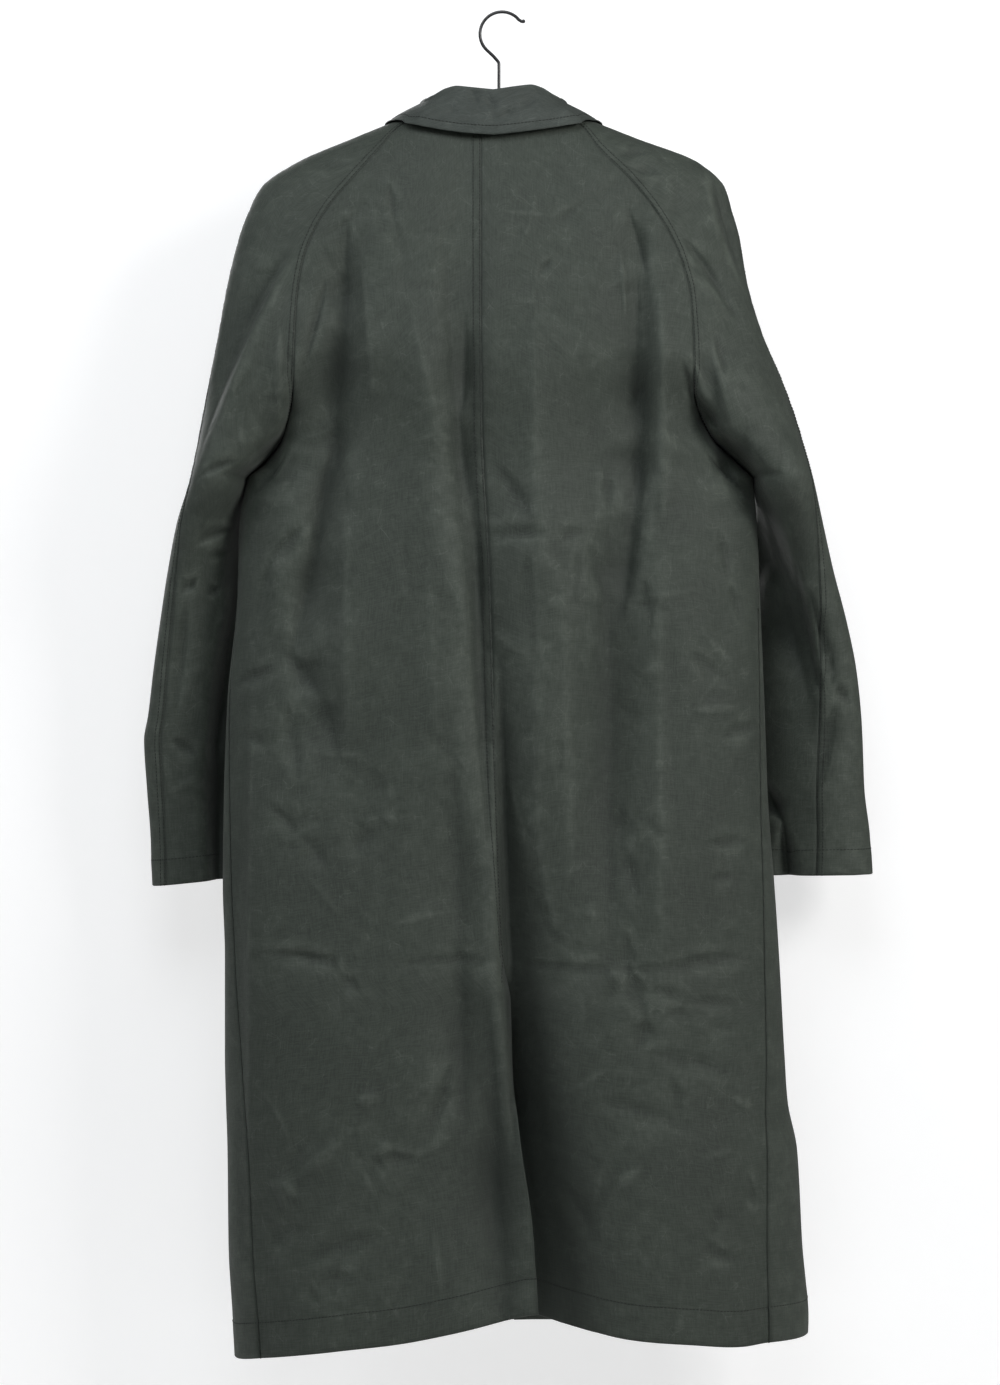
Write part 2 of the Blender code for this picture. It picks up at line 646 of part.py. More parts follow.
def wall_mesh(name, grid, normals, thickness):
    """A closed wall under a grid, its outer face on the grid."""
    rows, columns = grid.shape[:2]
    inner = grid - normals * thickness
    points = np.concatenate([grid.reshape(-1, 3), inner.reshape(-1, 3)])
    offset = rows * columns
    faces = []
    for r in range(rows - 1):
        for c in range(columns - 1):
            a = r * columns + c
            b = a + 1
            d = a + columns
            faces.append((a, b, d + 1, d))
            faces.append((a + offset, d + offset, d + 1 + offset, b + offset))
    border = [c for c in range(columns)]
    border += [r * columns + columns - 1 for r in range(1, rows)]
    border += [(rows - 1) * columns + c for c in range(columns - 2, -1, -1)]
    border += [r * columns for r in range(rows - 2, 0, -1)]
    for a, b in zip(border, border[1:] + border[:1]):
        faces.append((b, a, a + offset, b + offset))
    mesh = bpy.data.meshes.new(name)
    mesh.from_pydata(points.tolist(), [], faces)
    mesh.update()
    if signed_volume(mesh) < 0:
        mesh.flip_normals()
    return mesh


def signed_volume(mesh):
    """Volume inside a mesh, negative when its faces point inwards."""
    mesh.calc_loop_triangles()
    total = 0.0
    for triangle in mesh.loop_triangles:
        a, b, c = (mesh.vertices[i].co for i in triangle.vertices)
        total += a.dot(b.cross(c)) / 6
    return total


def add_object(name, mesh, material, parent):
    """Link a named solid with its material under the coat's empty."""
    mesh.materials.append(material)
    mesh.shade_smooth()
    mesh.set_sharp_from_angle(angle=math.radians(SHARP_ANGLE))
    made = bpy.data.objects.new(name, mesh)
    bpy.context.collection.objects.link(made)
    made.parent = parent
    return made


def make_material(finish):
    """A plain finish."""
    material = bpy.data.materials.new(finish.name)
    material.use_nodes = True
    surface = material.node_tree.nodes["Principled BSDF"]
    surface.inputs["Base Color"].default_value = finish.colour
    surface.inputs["Roughness"].default_value = finish.roughness
    surface.inputs["Metallic"].default_value = finish.metallic
    return material


# Sub-parts

def make_panels(material, parent):
    """Back, front and sleeve walls."""
    grids = {}
    for side in ("left", "right"):
        grids["back_" + side] = back_panel(side)
        grids["front_" + side] = front_panel(side)
        grids["sleeve_back_" + side] = sleeve_panel(side, "back")
        grids["sleeve_front_" + side] = sleeve_panel(side, "front")
    normals = {}
    for name, grid in grids.items():
        left = name.endswith("left")
        inward_columns = name.startswith("front") or name.startswith("sleeve_back")
        normals[name] = grid_normals(grid, 1.0 if left == inward_columns else -1.0)
    normals = shared_normals(grids, normals)
    for name, grid in grids.items():
        drawn = draw_back(grid, SEAM_SETBACK)
        add_object(name, wall_mesh(name, drawn, normals[name], CLOTH), material, parent)


def neck_line():
    """Points along the neck seam, from the left front round the back to the right front."""
    points = []
    for side in ("left", "right"):
        sign = SIDE_SIGN[side]
        half = []
        middle = float(centre_front(NECK_FRONT_Z))
        start = middle + sign * COLLAR_END_GAP
        top = float(getattr(raglan, side)(RAGLAN_TOP_Z))
        free = float(front_edge(side, NECK_FRONT_Z))
        for i in range(COLLAR_FRONT_COLUMNS):
            first = (start - free) / (top - free)
            at = first + (1 - first) * i / COLLAR_FRONT_COLUMNS
            z = RAGLAN_TOP_Z + (NECK_FRONT_Z - RAGLAN_TOP_Z) * math.cos(at * math.pi / 2)
            x = free + (top - free) * at
            half.append((x, float(shell("body", side, x, z, 1)), z))
        edge = float(getattr(outer, side)(NECK_SIDE_Z))
        for i in range(2 * COLLAR_SLEEVE_COLUMNS):
            ring = -1 + i / COLLAR_SLEEVE_COLUMNS
            share = 1 - math.cos(ring * math.pi / 2)
            x = edge + (top - edge) * share
            z = NECK_SIDE_Z + (RAGLAN_TOP_Z - NECK_SIDE_Z) * share
            half.append((x, float(shell("sleeve", side, x, z, -1 if ring >= 0 else 1)), z))
        centre = float(centre_back(NECK_BACK_Z))
        for i in range(COLLAR_BACK_COLUMNS):
            at = 1 - i / COLLAR_BACK_COLUMNS
            x = centre + (top - centre) * at
            z = NECK_BACK_Z + (RAGLAN_TOP_Z - NECK_BACK_Z) * at ** 2
            half.append((x, float(shell("body", side, x, z, -1)), z))
        if side == "left":
            points += half
            points.append((centre, float(shell("body", side, centre, NECK_BACK_Z, -1)), NECK_BACK_Z))
        else:
            points += half[::-1]
    return np.array(points)


def coat_level(point):
    """Zero on the shoulders' surface, negative inside it and positive outside."""
    x, y, z = point
    left = float(outer.left(z))
    right = float(outer.right(z))
    half = float(shoulder.back(z) if y < 0 else shoulder.front(z))
    across = abs((2 * x - left - right) / (right - left))
    return across ** LOBE_POWER + abs(y / half) ** LOBE_POWER - 1


def clear_of_coat(point, clearance):
    """Move a point of the collar's fall out until it lies off the coat's surface."""
    for _ in range(CLEARING_ROUNDS):
        if point[2] > NECK_SIDE_Z:
            break
        level = coat_level(point)
        slope = np.zeros(3)
        for axis in range(3):
            shift = np.zeros(3)
            shift[axis] = SLOPE_STEP
            rise = coat_level(point + shift) - coat_level(point - shift)
            slope[axis] = rise / (2 * SLOPE_STEP)
        steepness = np.linalg.norm(slope)
        missing = clearance - level / steepness
        if missing <= 0:
            break
        point = point + missing * slope / steepness
    return point


def make_collar(material, parent):
    """Stand and fall in one wall that turns over at the fold line."""
    neck = neck_line()
    middle_x = float(neck[:, 0].max() + neck[:, 0].min()) / 2
    half_width = float(neck[:, 0].max() - neck[:, 0].min()) / 2
    half_depth = float(neck[:, 1].max() - neck[:, 1].min()) / 2
    middle_y = float(neck[:, 1].max() + neck[:, 1].min()) / 2
    rows = []
    for seam in neck:
        across = (seam[0] - middle_x) / half_width
        deep = (seam[1] - middle_y) / half_depth
        turned = math.degrees(math.atan2(abs(across), -deep))
        out = np.array([across / half_width, deep / half_depth, 0.0])
        out /= np.linalg.norm(out)
        up = np.array([0.0, 0.0, 1.0])
        stand = float(collar_table.stand(turned))
        lean = float(collar_table.lean(turned))
        reach = float(collar_table.reach(turned))
        drop = float(collar_table.drop(turned))
        opened = COLLAR_SPREAD * ease((turned - COLLAR_OPENS_AT) / COLLAR_SPREADS_OVER)
        sideways = np.array([math.copysign(opened, across), 0.0, 0.0])
        over_lap = float(ease((turned - COLLAR_OPENS_AT) / COLLAR_LIFTS_OVER))
        clearance = COLLAR_CLEARANCE + FRONT_LIFT * over_lap
        base = seam - out * CLOTH + up * COLLAR_SEAM_GAP
        crown = seam + out * lean + up * (stand - COLLAR_ROLL)
        edge = seam + out * reach + sideways - up * drop
        section = []
        for i in range(STAND_ROWS):
            section.append(base + (crown - out * COLLAR_ROLL - base) * i / STAND_ROWS)
        for i in range(ROLL_ROWS + 1):
            angle = math.pi * (1 - i / ROLL_ROWS)
            section.append(crown + COLLAR_ROLL * (out * math.cos(angle) + up * math.sin(angle)))
        rolled = crown + out * COLLAR_ROLL
        for i in range(1, FALL_ROWS + 1):
            share = i / FALL_ROWS
            point = rolled + (edge - rolled) * share + out * FALL_BULGE * math.sin(math.pi * share)
            section.append(clear_of_coat(point, clearance))
        rows.append(section)
    grid = np.array(rows)
    normals = grid_normals(grid, 1.0)
    if normals[len(neck) // 2, -1] @ np.array([0.0, -1.0, 0.0]) < 0:
        normals = -normals
    add_object("collar", wall_mesh("collar", grid, normals, CLOTH), material, parent)


def turned_mesh(name, profile, sides):
    """A solid of revolution about Z from a profile of radii and heights that ends on the axis."""
    points = []
    faces = []
    rings = profile[1:-1]
    for radius, height in rings:
        for i in range(sides):
            angle = 2 * math.pi * i / sides
            points.append((radius * math.cos(angle), radius * math.sin(angle), height))
    low = len(points)
    points.append((0.0, 0.0, profile[0][1]))
    high = len(points)
    points.append((0.0, 0.0, profile[-1][1]))
    for i in range(sides):
        j = (i + 1) % sides
        faces.append((low, j, i))
        top = (len(rings) - 1) * sides
        faces.append((high, top + i, top + j))
        for r in range(len(rings) - 1):
            faces.append((r * sides + i, r * sides + j, (r + 1) * sides + j, (r + 1) * sides + i))
    mesh = bpy.data.meshes.new(name)
    mesh.from_pydata(points, [], faces)
    mesh.update()
    return mesh


def make_buttons(material, parent):
    """Five plain dished buttons on the left front, along the centre front."""
    profile = [(turn.radius * BUTTON_RADIUS, turn.height * BUTTON_THICKNESS) for turn in BUTTON_PROFILE]
    for number, z in enumerate(BUTTON_HEIGHTS, start=1):
        x = float(centre_front(z))
        name = "button_%d" % number
        made = add_object(name, turned_mesh(name, profile, BUTTON_SIDES), material, parent)
        step = BUTTON_RADIUS
        around = [(x + dx, z + dz) for dx in (-step, 0, step) for dz in (-step, 0, step)]
        outermost = max(float(shell("body", "left", px, pz, 1)) for px, pz in around)
        made.location = (x, outermost + FRONT_LIFT + BUTTON_GAP, z)
        made.rotation_euler = (-math.pi / 2, 0.0, 0.0)


def make_hook(material, parent):
    """Bent wire: stem, round hook and a knobbed tip."""
    centre_z = WIRE_RADIUS - HOOK_RADIUS
    points = [(STEM_X, BAR_CENTRE_TOP_Z + BAR_SEAT_GAP), (STEM_X, STEM_TOP_Z - STEM_BEND_LENGTH)]
    points += [(STEM_X, STEM_TOP_Z), (STEM_X - STEM_LEAN_X, STEM_TOP_Z + STEM_LEAN_Z)]
    for i in range(HOOK_ARC_POINTS + 1):
        turned = HOOK_START_ANGLE + (HOOK_END_ANGLE - HOOK_START_ANGLE) * i / HOOK_ARC_POINTS
        angle = math.radians(turned)
        points.append((HOOK_RADIUS * math.cos(angle), centre_z + HOOK_RADIUS * math.sin(angle)))
    end_x, end_z = points[-1]
    points.append((end_x + HOOK_TIP_REACH / 2, end_z - HOOK_TIP_SAG))
    points.append((end_x + HOOK_TIP_REACH, end_z - HOOK_TIP_DROP))
    curve = bpy.data.curves.new("hanger_hook", "CURVE")
    curve.dimensions = "3D"
    curve.bevel_depth = WIRE_RADIUS
    curve.bevel_resolution = 2
    curve.use_fill_caps = True
    spline = curve.splines.new("POLY")
    spline.points.add(len(points) - 1)
    for place, (x, z) in zip(spline.points, points):
        place.co = (x, 0.0, z, 1.0)
    spline.points[-1].radius = HOOK_KNOB
    curve.materials.append(material)
    made = bpy.data.objects.new("hanger_hook", curve)
    bpy.context.collection.objects.link(made)
    made.parent = parent


def ridge_z(x):
    """Height of the shoulder ridge over a place across the coat, along the sleeves' own points."""
    _, high = body_rows()
    across, levels = overarm_points("left" if x < STEM_X else "right", high[::-1])
    return float(np.interp(abs(x), np.abs(across), levels))


def make_bar(material, parent):
    """Plain shoulder bar, rounded, under the shoulder ridge from end to end."""
    points = []
    faces = []
    stations = np.linspace(BAR_LEFT_X, BAR_RIGHT_X, BAR_SECTIONS + 1)
    for x in stations:
        neck_end = float(outer.left(NECK_SIDE_Z) if x < STEM_X else outer.right(NECK_SIDE_Z))
        top = ridge_z(x) - CLOTH - BAR_CLEARANCE
        if abs(x - STEM_X) < abs(neck_end - STEM_X):
            side_top = NECK_SIDE_Z - CLOTH - BAR_CLEARANCE
            to_neck = (x - STEM_X) / (neck_end - STEM_X)
            top = side_top + (BAR_CENTRE_TOP_Z - side_top) * float(ease(1 - to_neck))
        to_end = min(x - BAR_LEFT_X, BAR_RIGHT_X - x)
        fullness = math.sqrt(1 - (1 - min(to_end / BAR_END_TAPER, 1.0)) ** 2 * BAR_END_ROUNDING)
        height = BAR_HEIGHT * fullness
        for i in range(BAR_SIDES):
            angle = 2 * math.pi * i / BAR_SIDES
            y = BAR_HALF_WIDTH * fullness * math.sin(angle)
            z = top - height / 2 + height / 2 * math.cos(angle)
            points.append((float(x), y, z))
    for s in range(BAR_SECTIONS):
        for i in range(BAR_SIDES):
            j = (i + 1) % BAR_SIDES
            a = s * BAR_SIDES
            faces.append((a + i, a + j, a + BAR_SIDES + j, a + BAR_SIDES + i))
    faces.append(tuple(range(BAR_SIDES - 1, -1, -1)))
    faces.append(tuple(range(BAR_SECTIONS * BAR_SIDES, (BAR_SECTIONS + 1) * BAR_SIDES)))
    mesh = bpy.data.meshes.new("hanger_bar")
    mesh.from_pydata(points, [], faces)
    mesh.update()
    if signed_volume(mesh) < 0:
        mesh.flip_normals()
    add_object("hanger_bar", mesh, material, parent)


def main():
    """Build the coat and its hanger."""
    for old in list(bpy.data.objects):
        bpy.data.objects.remove(old, do_unlink=True)
    coat = bpy.data.objects.new("coat_on_hanger", None)
    bpy.context.collection.objects.link(coat)
    make_panels(make_material(CLOTH_FINISH), coat)
    make_collar(make_material(COLLAR_FINISH), coat)
    make_buttons(make_material(BUTTON_FINISH), coat)
    make_hook(make_material(WIRE_FINISH), coat)
    make_bar(make_material(BAR_FINISH), coat)


main()
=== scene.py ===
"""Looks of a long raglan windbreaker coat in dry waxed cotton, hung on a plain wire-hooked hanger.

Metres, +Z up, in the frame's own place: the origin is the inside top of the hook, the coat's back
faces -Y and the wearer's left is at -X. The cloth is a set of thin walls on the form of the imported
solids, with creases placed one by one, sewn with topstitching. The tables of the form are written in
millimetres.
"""
import math
from collections import namedtuple
from itertools import product
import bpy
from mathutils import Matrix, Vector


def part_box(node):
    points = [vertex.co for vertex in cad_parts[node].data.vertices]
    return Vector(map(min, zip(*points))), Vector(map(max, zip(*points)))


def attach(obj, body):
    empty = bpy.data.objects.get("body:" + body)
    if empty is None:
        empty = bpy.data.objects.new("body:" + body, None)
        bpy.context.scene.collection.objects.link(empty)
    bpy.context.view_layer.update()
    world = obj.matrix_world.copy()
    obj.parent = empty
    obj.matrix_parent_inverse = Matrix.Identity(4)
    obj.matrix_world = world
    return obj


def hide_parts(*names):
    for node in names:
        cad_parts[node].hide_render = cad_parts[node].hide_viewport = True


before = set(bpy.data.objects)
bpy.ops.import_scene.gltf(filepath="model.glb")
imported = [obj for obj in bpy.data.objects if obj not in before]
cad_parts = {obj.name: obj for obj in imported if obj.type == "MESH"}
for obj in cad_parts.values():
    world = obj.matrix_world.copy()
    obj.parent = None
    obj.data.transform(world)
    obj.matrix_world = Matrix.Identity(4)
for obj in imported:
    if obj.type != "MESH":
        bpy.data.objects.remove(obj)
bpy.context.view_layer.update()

from types import SimpleNamespace

import bpy
import numpy as np
from mathutils import Matrix

bl_info = {
    "name": "Long windbreaker coat",
    "version": (1, 0, 0),
    "blender": (4, 5, 0),
    "location": "3D View > Sidebar > Coat",
    "description": "Builds a hung raglan coat in waxed cotton with its creases, seams and stitching",
    "category": "Object",
}

PLAIN_COLUMNS = ("angle", "seam_left", "seam_right", "peak")


def in_metres(kind, *rows):
    """Rows of a table in metres, from lengths in millimetres; a plain column stays as it is."""
    units = [1 if column in PLAIN_COLUMNS else 1000 for column in kind._fields]
    return [kind(*(value / unit for value, unit in zip(kind(*row), units))) for row in rows]


# Levels down the coat
NECK_SIDE_Z = -0.095
NECK_BACK_Z = -0.108
NECK_FRONT_Z = -0.178
RAGLAN_TOP_Z = -0.102
OVERARM_UNDER_Z = -0.425
UNDERARM_Z = -0.441
VENT_TOP_Z = -0.893
HEM_LEVEL_Z = -1.25
FOLDS_PART_OVER = 0.05

# Roundness of the hanging tubes, and their two faces
LOBE_POWER = 2.4
SLEEVE_POWER = 2.2
ROUND_BELOW = 0.12
EDGE_FADE_POWER = 14
FOLD_END_FADE = 0.12
KINK_REACH = 0.025
BACK_FACE = -1
FRONT_FACE = 1

# Where the body and the sleeves start to part on each face, and how sharp their edges are there
Parting = namedtuple("Parting", "top_z root")
PARTING = {BACK_FACE: Parting(-0.32, 0.40), FRONT_FACE: Parting(-0.26, 0.62)}

# Centre-back vent and centre-front lap
SOLID_CLOTH = 0.0014
VENT_UNDERLAP = 0.035
VENT_LIFT = 0.004
VENT_LIFT_RUN = 0.020
VENT_LIFT_WIDTH = 0.07
VENT_CLEARANCE = 0.0015
VENT_HOLLOW = 0.052
VENT_HOLLOW_WIDTH = 0.056
VENT_HOLLOW_RUN = 0.16
FRONT_LAP = 0.025
FRONT_LIFT = 0.0032
FRONT_LIFT_RUN = 0.03

# Grid counts
BACK_COLUMNS = 124
FRONT_COLUMNS = 72
SLEEVE_BACK_COLUMNS = 56
SLEEVE_FRONT_COLUMNS = 48
BACK_ROWS = SimpleNamespace(vent=84, middle=124, top=130)
FRONT_ROWS = SimpleNamespace(vent=60, middle=90, top=90)
SLEEVE_BACK_ROWS = SimpleNamespace(low=140, top=130)
SLEEVE_FRONT_ROWS = SimpleNamespace(low=110, top=90)
OVERARM_SAMPLES = 400

# Silhouette of shoulders and sleeves: the overarm line on each side and its depth
OuterEdge = namedtuple("OuterEdge", "z left right y")
OUTER_EDGE = in_metres(
    OuterEdge,
    (-95, -80, 64, 0),
    (-109, -115, 100, 0),
    (-120, -142, 128, 0),
    (-143, -195.5, 187, 0),
    (-166, -228.5, 211.5, 0),
    (-189, -240.5, 218.5, 0),
    (-211.5, -249, 225, 0),
    (-257.5, -260, 232.5, -5),
    (-303.5, -268, 245.5, -10),
    (-349, -276.5, 264.5, -10),
    (-394, -285.5, 281, -5),
    (-439.5, -294, 293.5, 0),
    (-484.5, -309, 305, 10),
    (-530, -319, 316.5, 20),
    (-575.5, -326.5, 329, 25),
    (-621.5, -333.5, 339, 30),
    (-667.5, -339.5, 344.5, 35),
    (-690.5, -343.5, 346, 37),
    (-737, -341, 348, 40),
    (-783, -338, 354, 45),
    (-830, -336, 357, 45),
)

# Half depths of the whole coat, sleeves included, above the underarms
Shoulder = namedtuple("Shoulder", "z back front")
SHOULDER = in_metres(
    Shoulder,
    (-95, 40, 36),
    (-125, 50, 45),
    (-165, 62, 52),
    (-210, 72, 58),
    (-260, 80, 62),
    (-320, 87, 64),
    (-380, 91, 63),
    (-441, 93, 60),
)

# Raglan seams, from the neck to the underarm, the same line on back and front
Raglan = namedtuple("Raglan", "z left right")
RAGLAN = in_metres(
    Raglan,
    (-102, -78, 61.5),
    (-112, -96.5, 74.5),
    (-136, -116.5, 91.5),
    (-165, -141, 120),
    (-192, -163, 141.5),
    (-216, -176.5, 156.5),
    (-243, -186, 168),
    (-275, -190.7, 175.7),
    (-312, -192.7, 177.8),
    (-360, -195, 179),
    (-399, -204.5, 194),
    (-425, -223.5, 221.5),
    (-441, -242.5, 238.5),
)

# Body tube below the underarms: edges, half depths, mid plane and how far each side seam
# stands in from the edge on the back
Body = namedtuple("Body", "z left right back front mid inset_left inset_right")
BODY = in_metres(
    Body,
    (-441, -242.5, 238.5, 93, 60, 10, 0, 0),
    (-485, -249.5, 242.5, 94, 60, 6, 0, 0),
    (-557, -251.5, 245, 95, 58, 2, 1, 3),
    (-652, -260.5, 249, 95, 56, 0, 3.5, 6),
    (-747, -264, 252.5, 96, 55, 0, 7.5, 9),
    (-827, -265, 258.5, 96, 56, 0, 10.5, 13),
    (-895, -263, 263, 97, 58, 0, 12, 16.5),
    (-987, -263, 268, 100, 62, 0, 19, 20),
    (-1032, -262, 271, 102, 65, 0, 21.5, 24),
    (-1078, -260.5, 280, 104, 67, 0, 23.5, 32),
    (-1169, -259.5, 285, 107, 73, 0, 26.5, 37.5),
    (-1237, -255.5, 290.5, 109, 78, 0, 28, 41.5),
    (-1272.5, -253.5, 289, 110, 80, 0, 28.5, 41),
)

# Sleeve tubes below the underarms: inner edges, their depth, half depths, and the overarm seam's
# place on the ring, from 0 at the outer edge to 1 at the inner edge over the back
Sleeve = namedtuple("Sleeve", "z left right y back front seam_left seam_right")
SLEEVE = in_metres(
    Sleeve,
    (-300, -242.5, 238.5, 10, 72, 58, 0, 0),
    (-441, -242.5, 238.5, 10, 72, 56, 0.16, 0.18),
    (-480, -250, 243.5, 36, 64, 52, 0.22, 0.25),
    (-520, -246, 244, 60, 58, 48, 0.25, 0.31),
    (-560, -238, 242, 75, 55, 44, 0.25, 0.36),
    (-600, -228.5, 238.5, 83, 52, 41, 0.25, 0.4),
    (-680, -218, 233, 87, 48, 38, 0.25, 0.43),
    (-830, -212, 230, 86, 42, 34, 0.23, 0.47),
)

# Where each cuff ends, at its outer and inner edge
Cuff = namedtuple("Cuff", "side outer_z inner_z")
CUFFS = [
    Cuff("left", -0.830, -0.818),
    Cuff("right", -0.8185, -0.8205),
]

# Centre-back seam, running on as the vent's edge, and the centre front
CentreLine = namedtuple("CentreLine", "z x")
CENTRE_BACK = in_metres(
    CentreLine,
    (-108, -19.5),
    (-281, -19.5),
    (-392, -18.5),
    (-525, -12),
    (-724, -5.5),
    (-893, 1),
    (-932, 8),
    (-998, 10),
    (-1061, 16.5),
    (-1142, 28),
    (-1216, 32.5),
)
CENTRE_FRONT = in_metres(
    CentreLine,
    (-178, -8),
    (-600, 4),
    (-1260, 38),
)

# Hem level across the coat
Hem = namedtuple("Hem", "x back front")
HEM = in_metres(
    Hem,
    (-253.5, -1272.5, -1272.5),
    (-225.5, -1265.5, -1270),
    (-150, -1252, -1264),
    (-94.5, -1245, -1259),
    (-48, -1236, -1256),
    (-2, -1225.5, -1254),
    (34.5, -1217, -1253),
    (54, -1223.5, -1253),
    (91, -1233, -1253),
    (137, -1242.5, -1253),
    (183.5, -1247, -1252),
    (227, -1251.5, -1251.5),
    (248, -1250, -1251),
    (289, -1250.5, -1250.5),
)

# The largest folds. Each runs from its top to its foot with a sideways bow halfway, and sinks by
# the three depths along it; a ridge has negative depths.
Fold = namedtuple("Fold", "top_x top_z foot_x foot_z bow left_width right_width top middle foot")
BACK_FOLDS = in_metres(
    Fold,
    (-139, -197, -178, -522, 8, 26, 18, 2, 12, 4),
    (126, -201, 119, -520, 10, 45, 9, 2, 12, 6),
    (119, -500, 91, -820, -6, 35, 30, 5, 9, 2),
    (-31, -140, -34, -447, 4, 24, 14, 3, 7, 2),
    (-32, -717, -34, -967, 0, 35, 22, 1, 7, 2),
    (-205, -585, -150, -740, 4, 20, 24, 2, 7, 1),
    (-90, -230, -45, -570, 6, 30, 30, 0, -6, 0),
    (-150, -800, -165, -1240, 0, 60, 60, 0, -6, -11),
    (140, -800, 160, -1240, 0, 55, 60, 0, -3, -4),
)
FRONT_FOLDS = in_metres(
    Fold,
    (-120, -230, -150, -560, 6, 28, 20, 2, 10, 2),
    (115, -230, 140, -560, -6, 20, 28, 2, 10, 2),
    (-100, -640, -115, -1250, 5, 35, 30, 0, 6, 14),
    (130, -700, 150, -1250, -4, 30, 35, 0, 5, 12),
)
SLEEVE_FOLDS = in_metres(
    Fold,
    (-216, -252, -292, -446, -4, 14, 30, 0, -8, -2),
    (240, -455, 292, -660, 4, 40, 10, 0, 14, 4),
    (205, -200, 222, -330, 4, 16, 20, 0, 6, 1),
)

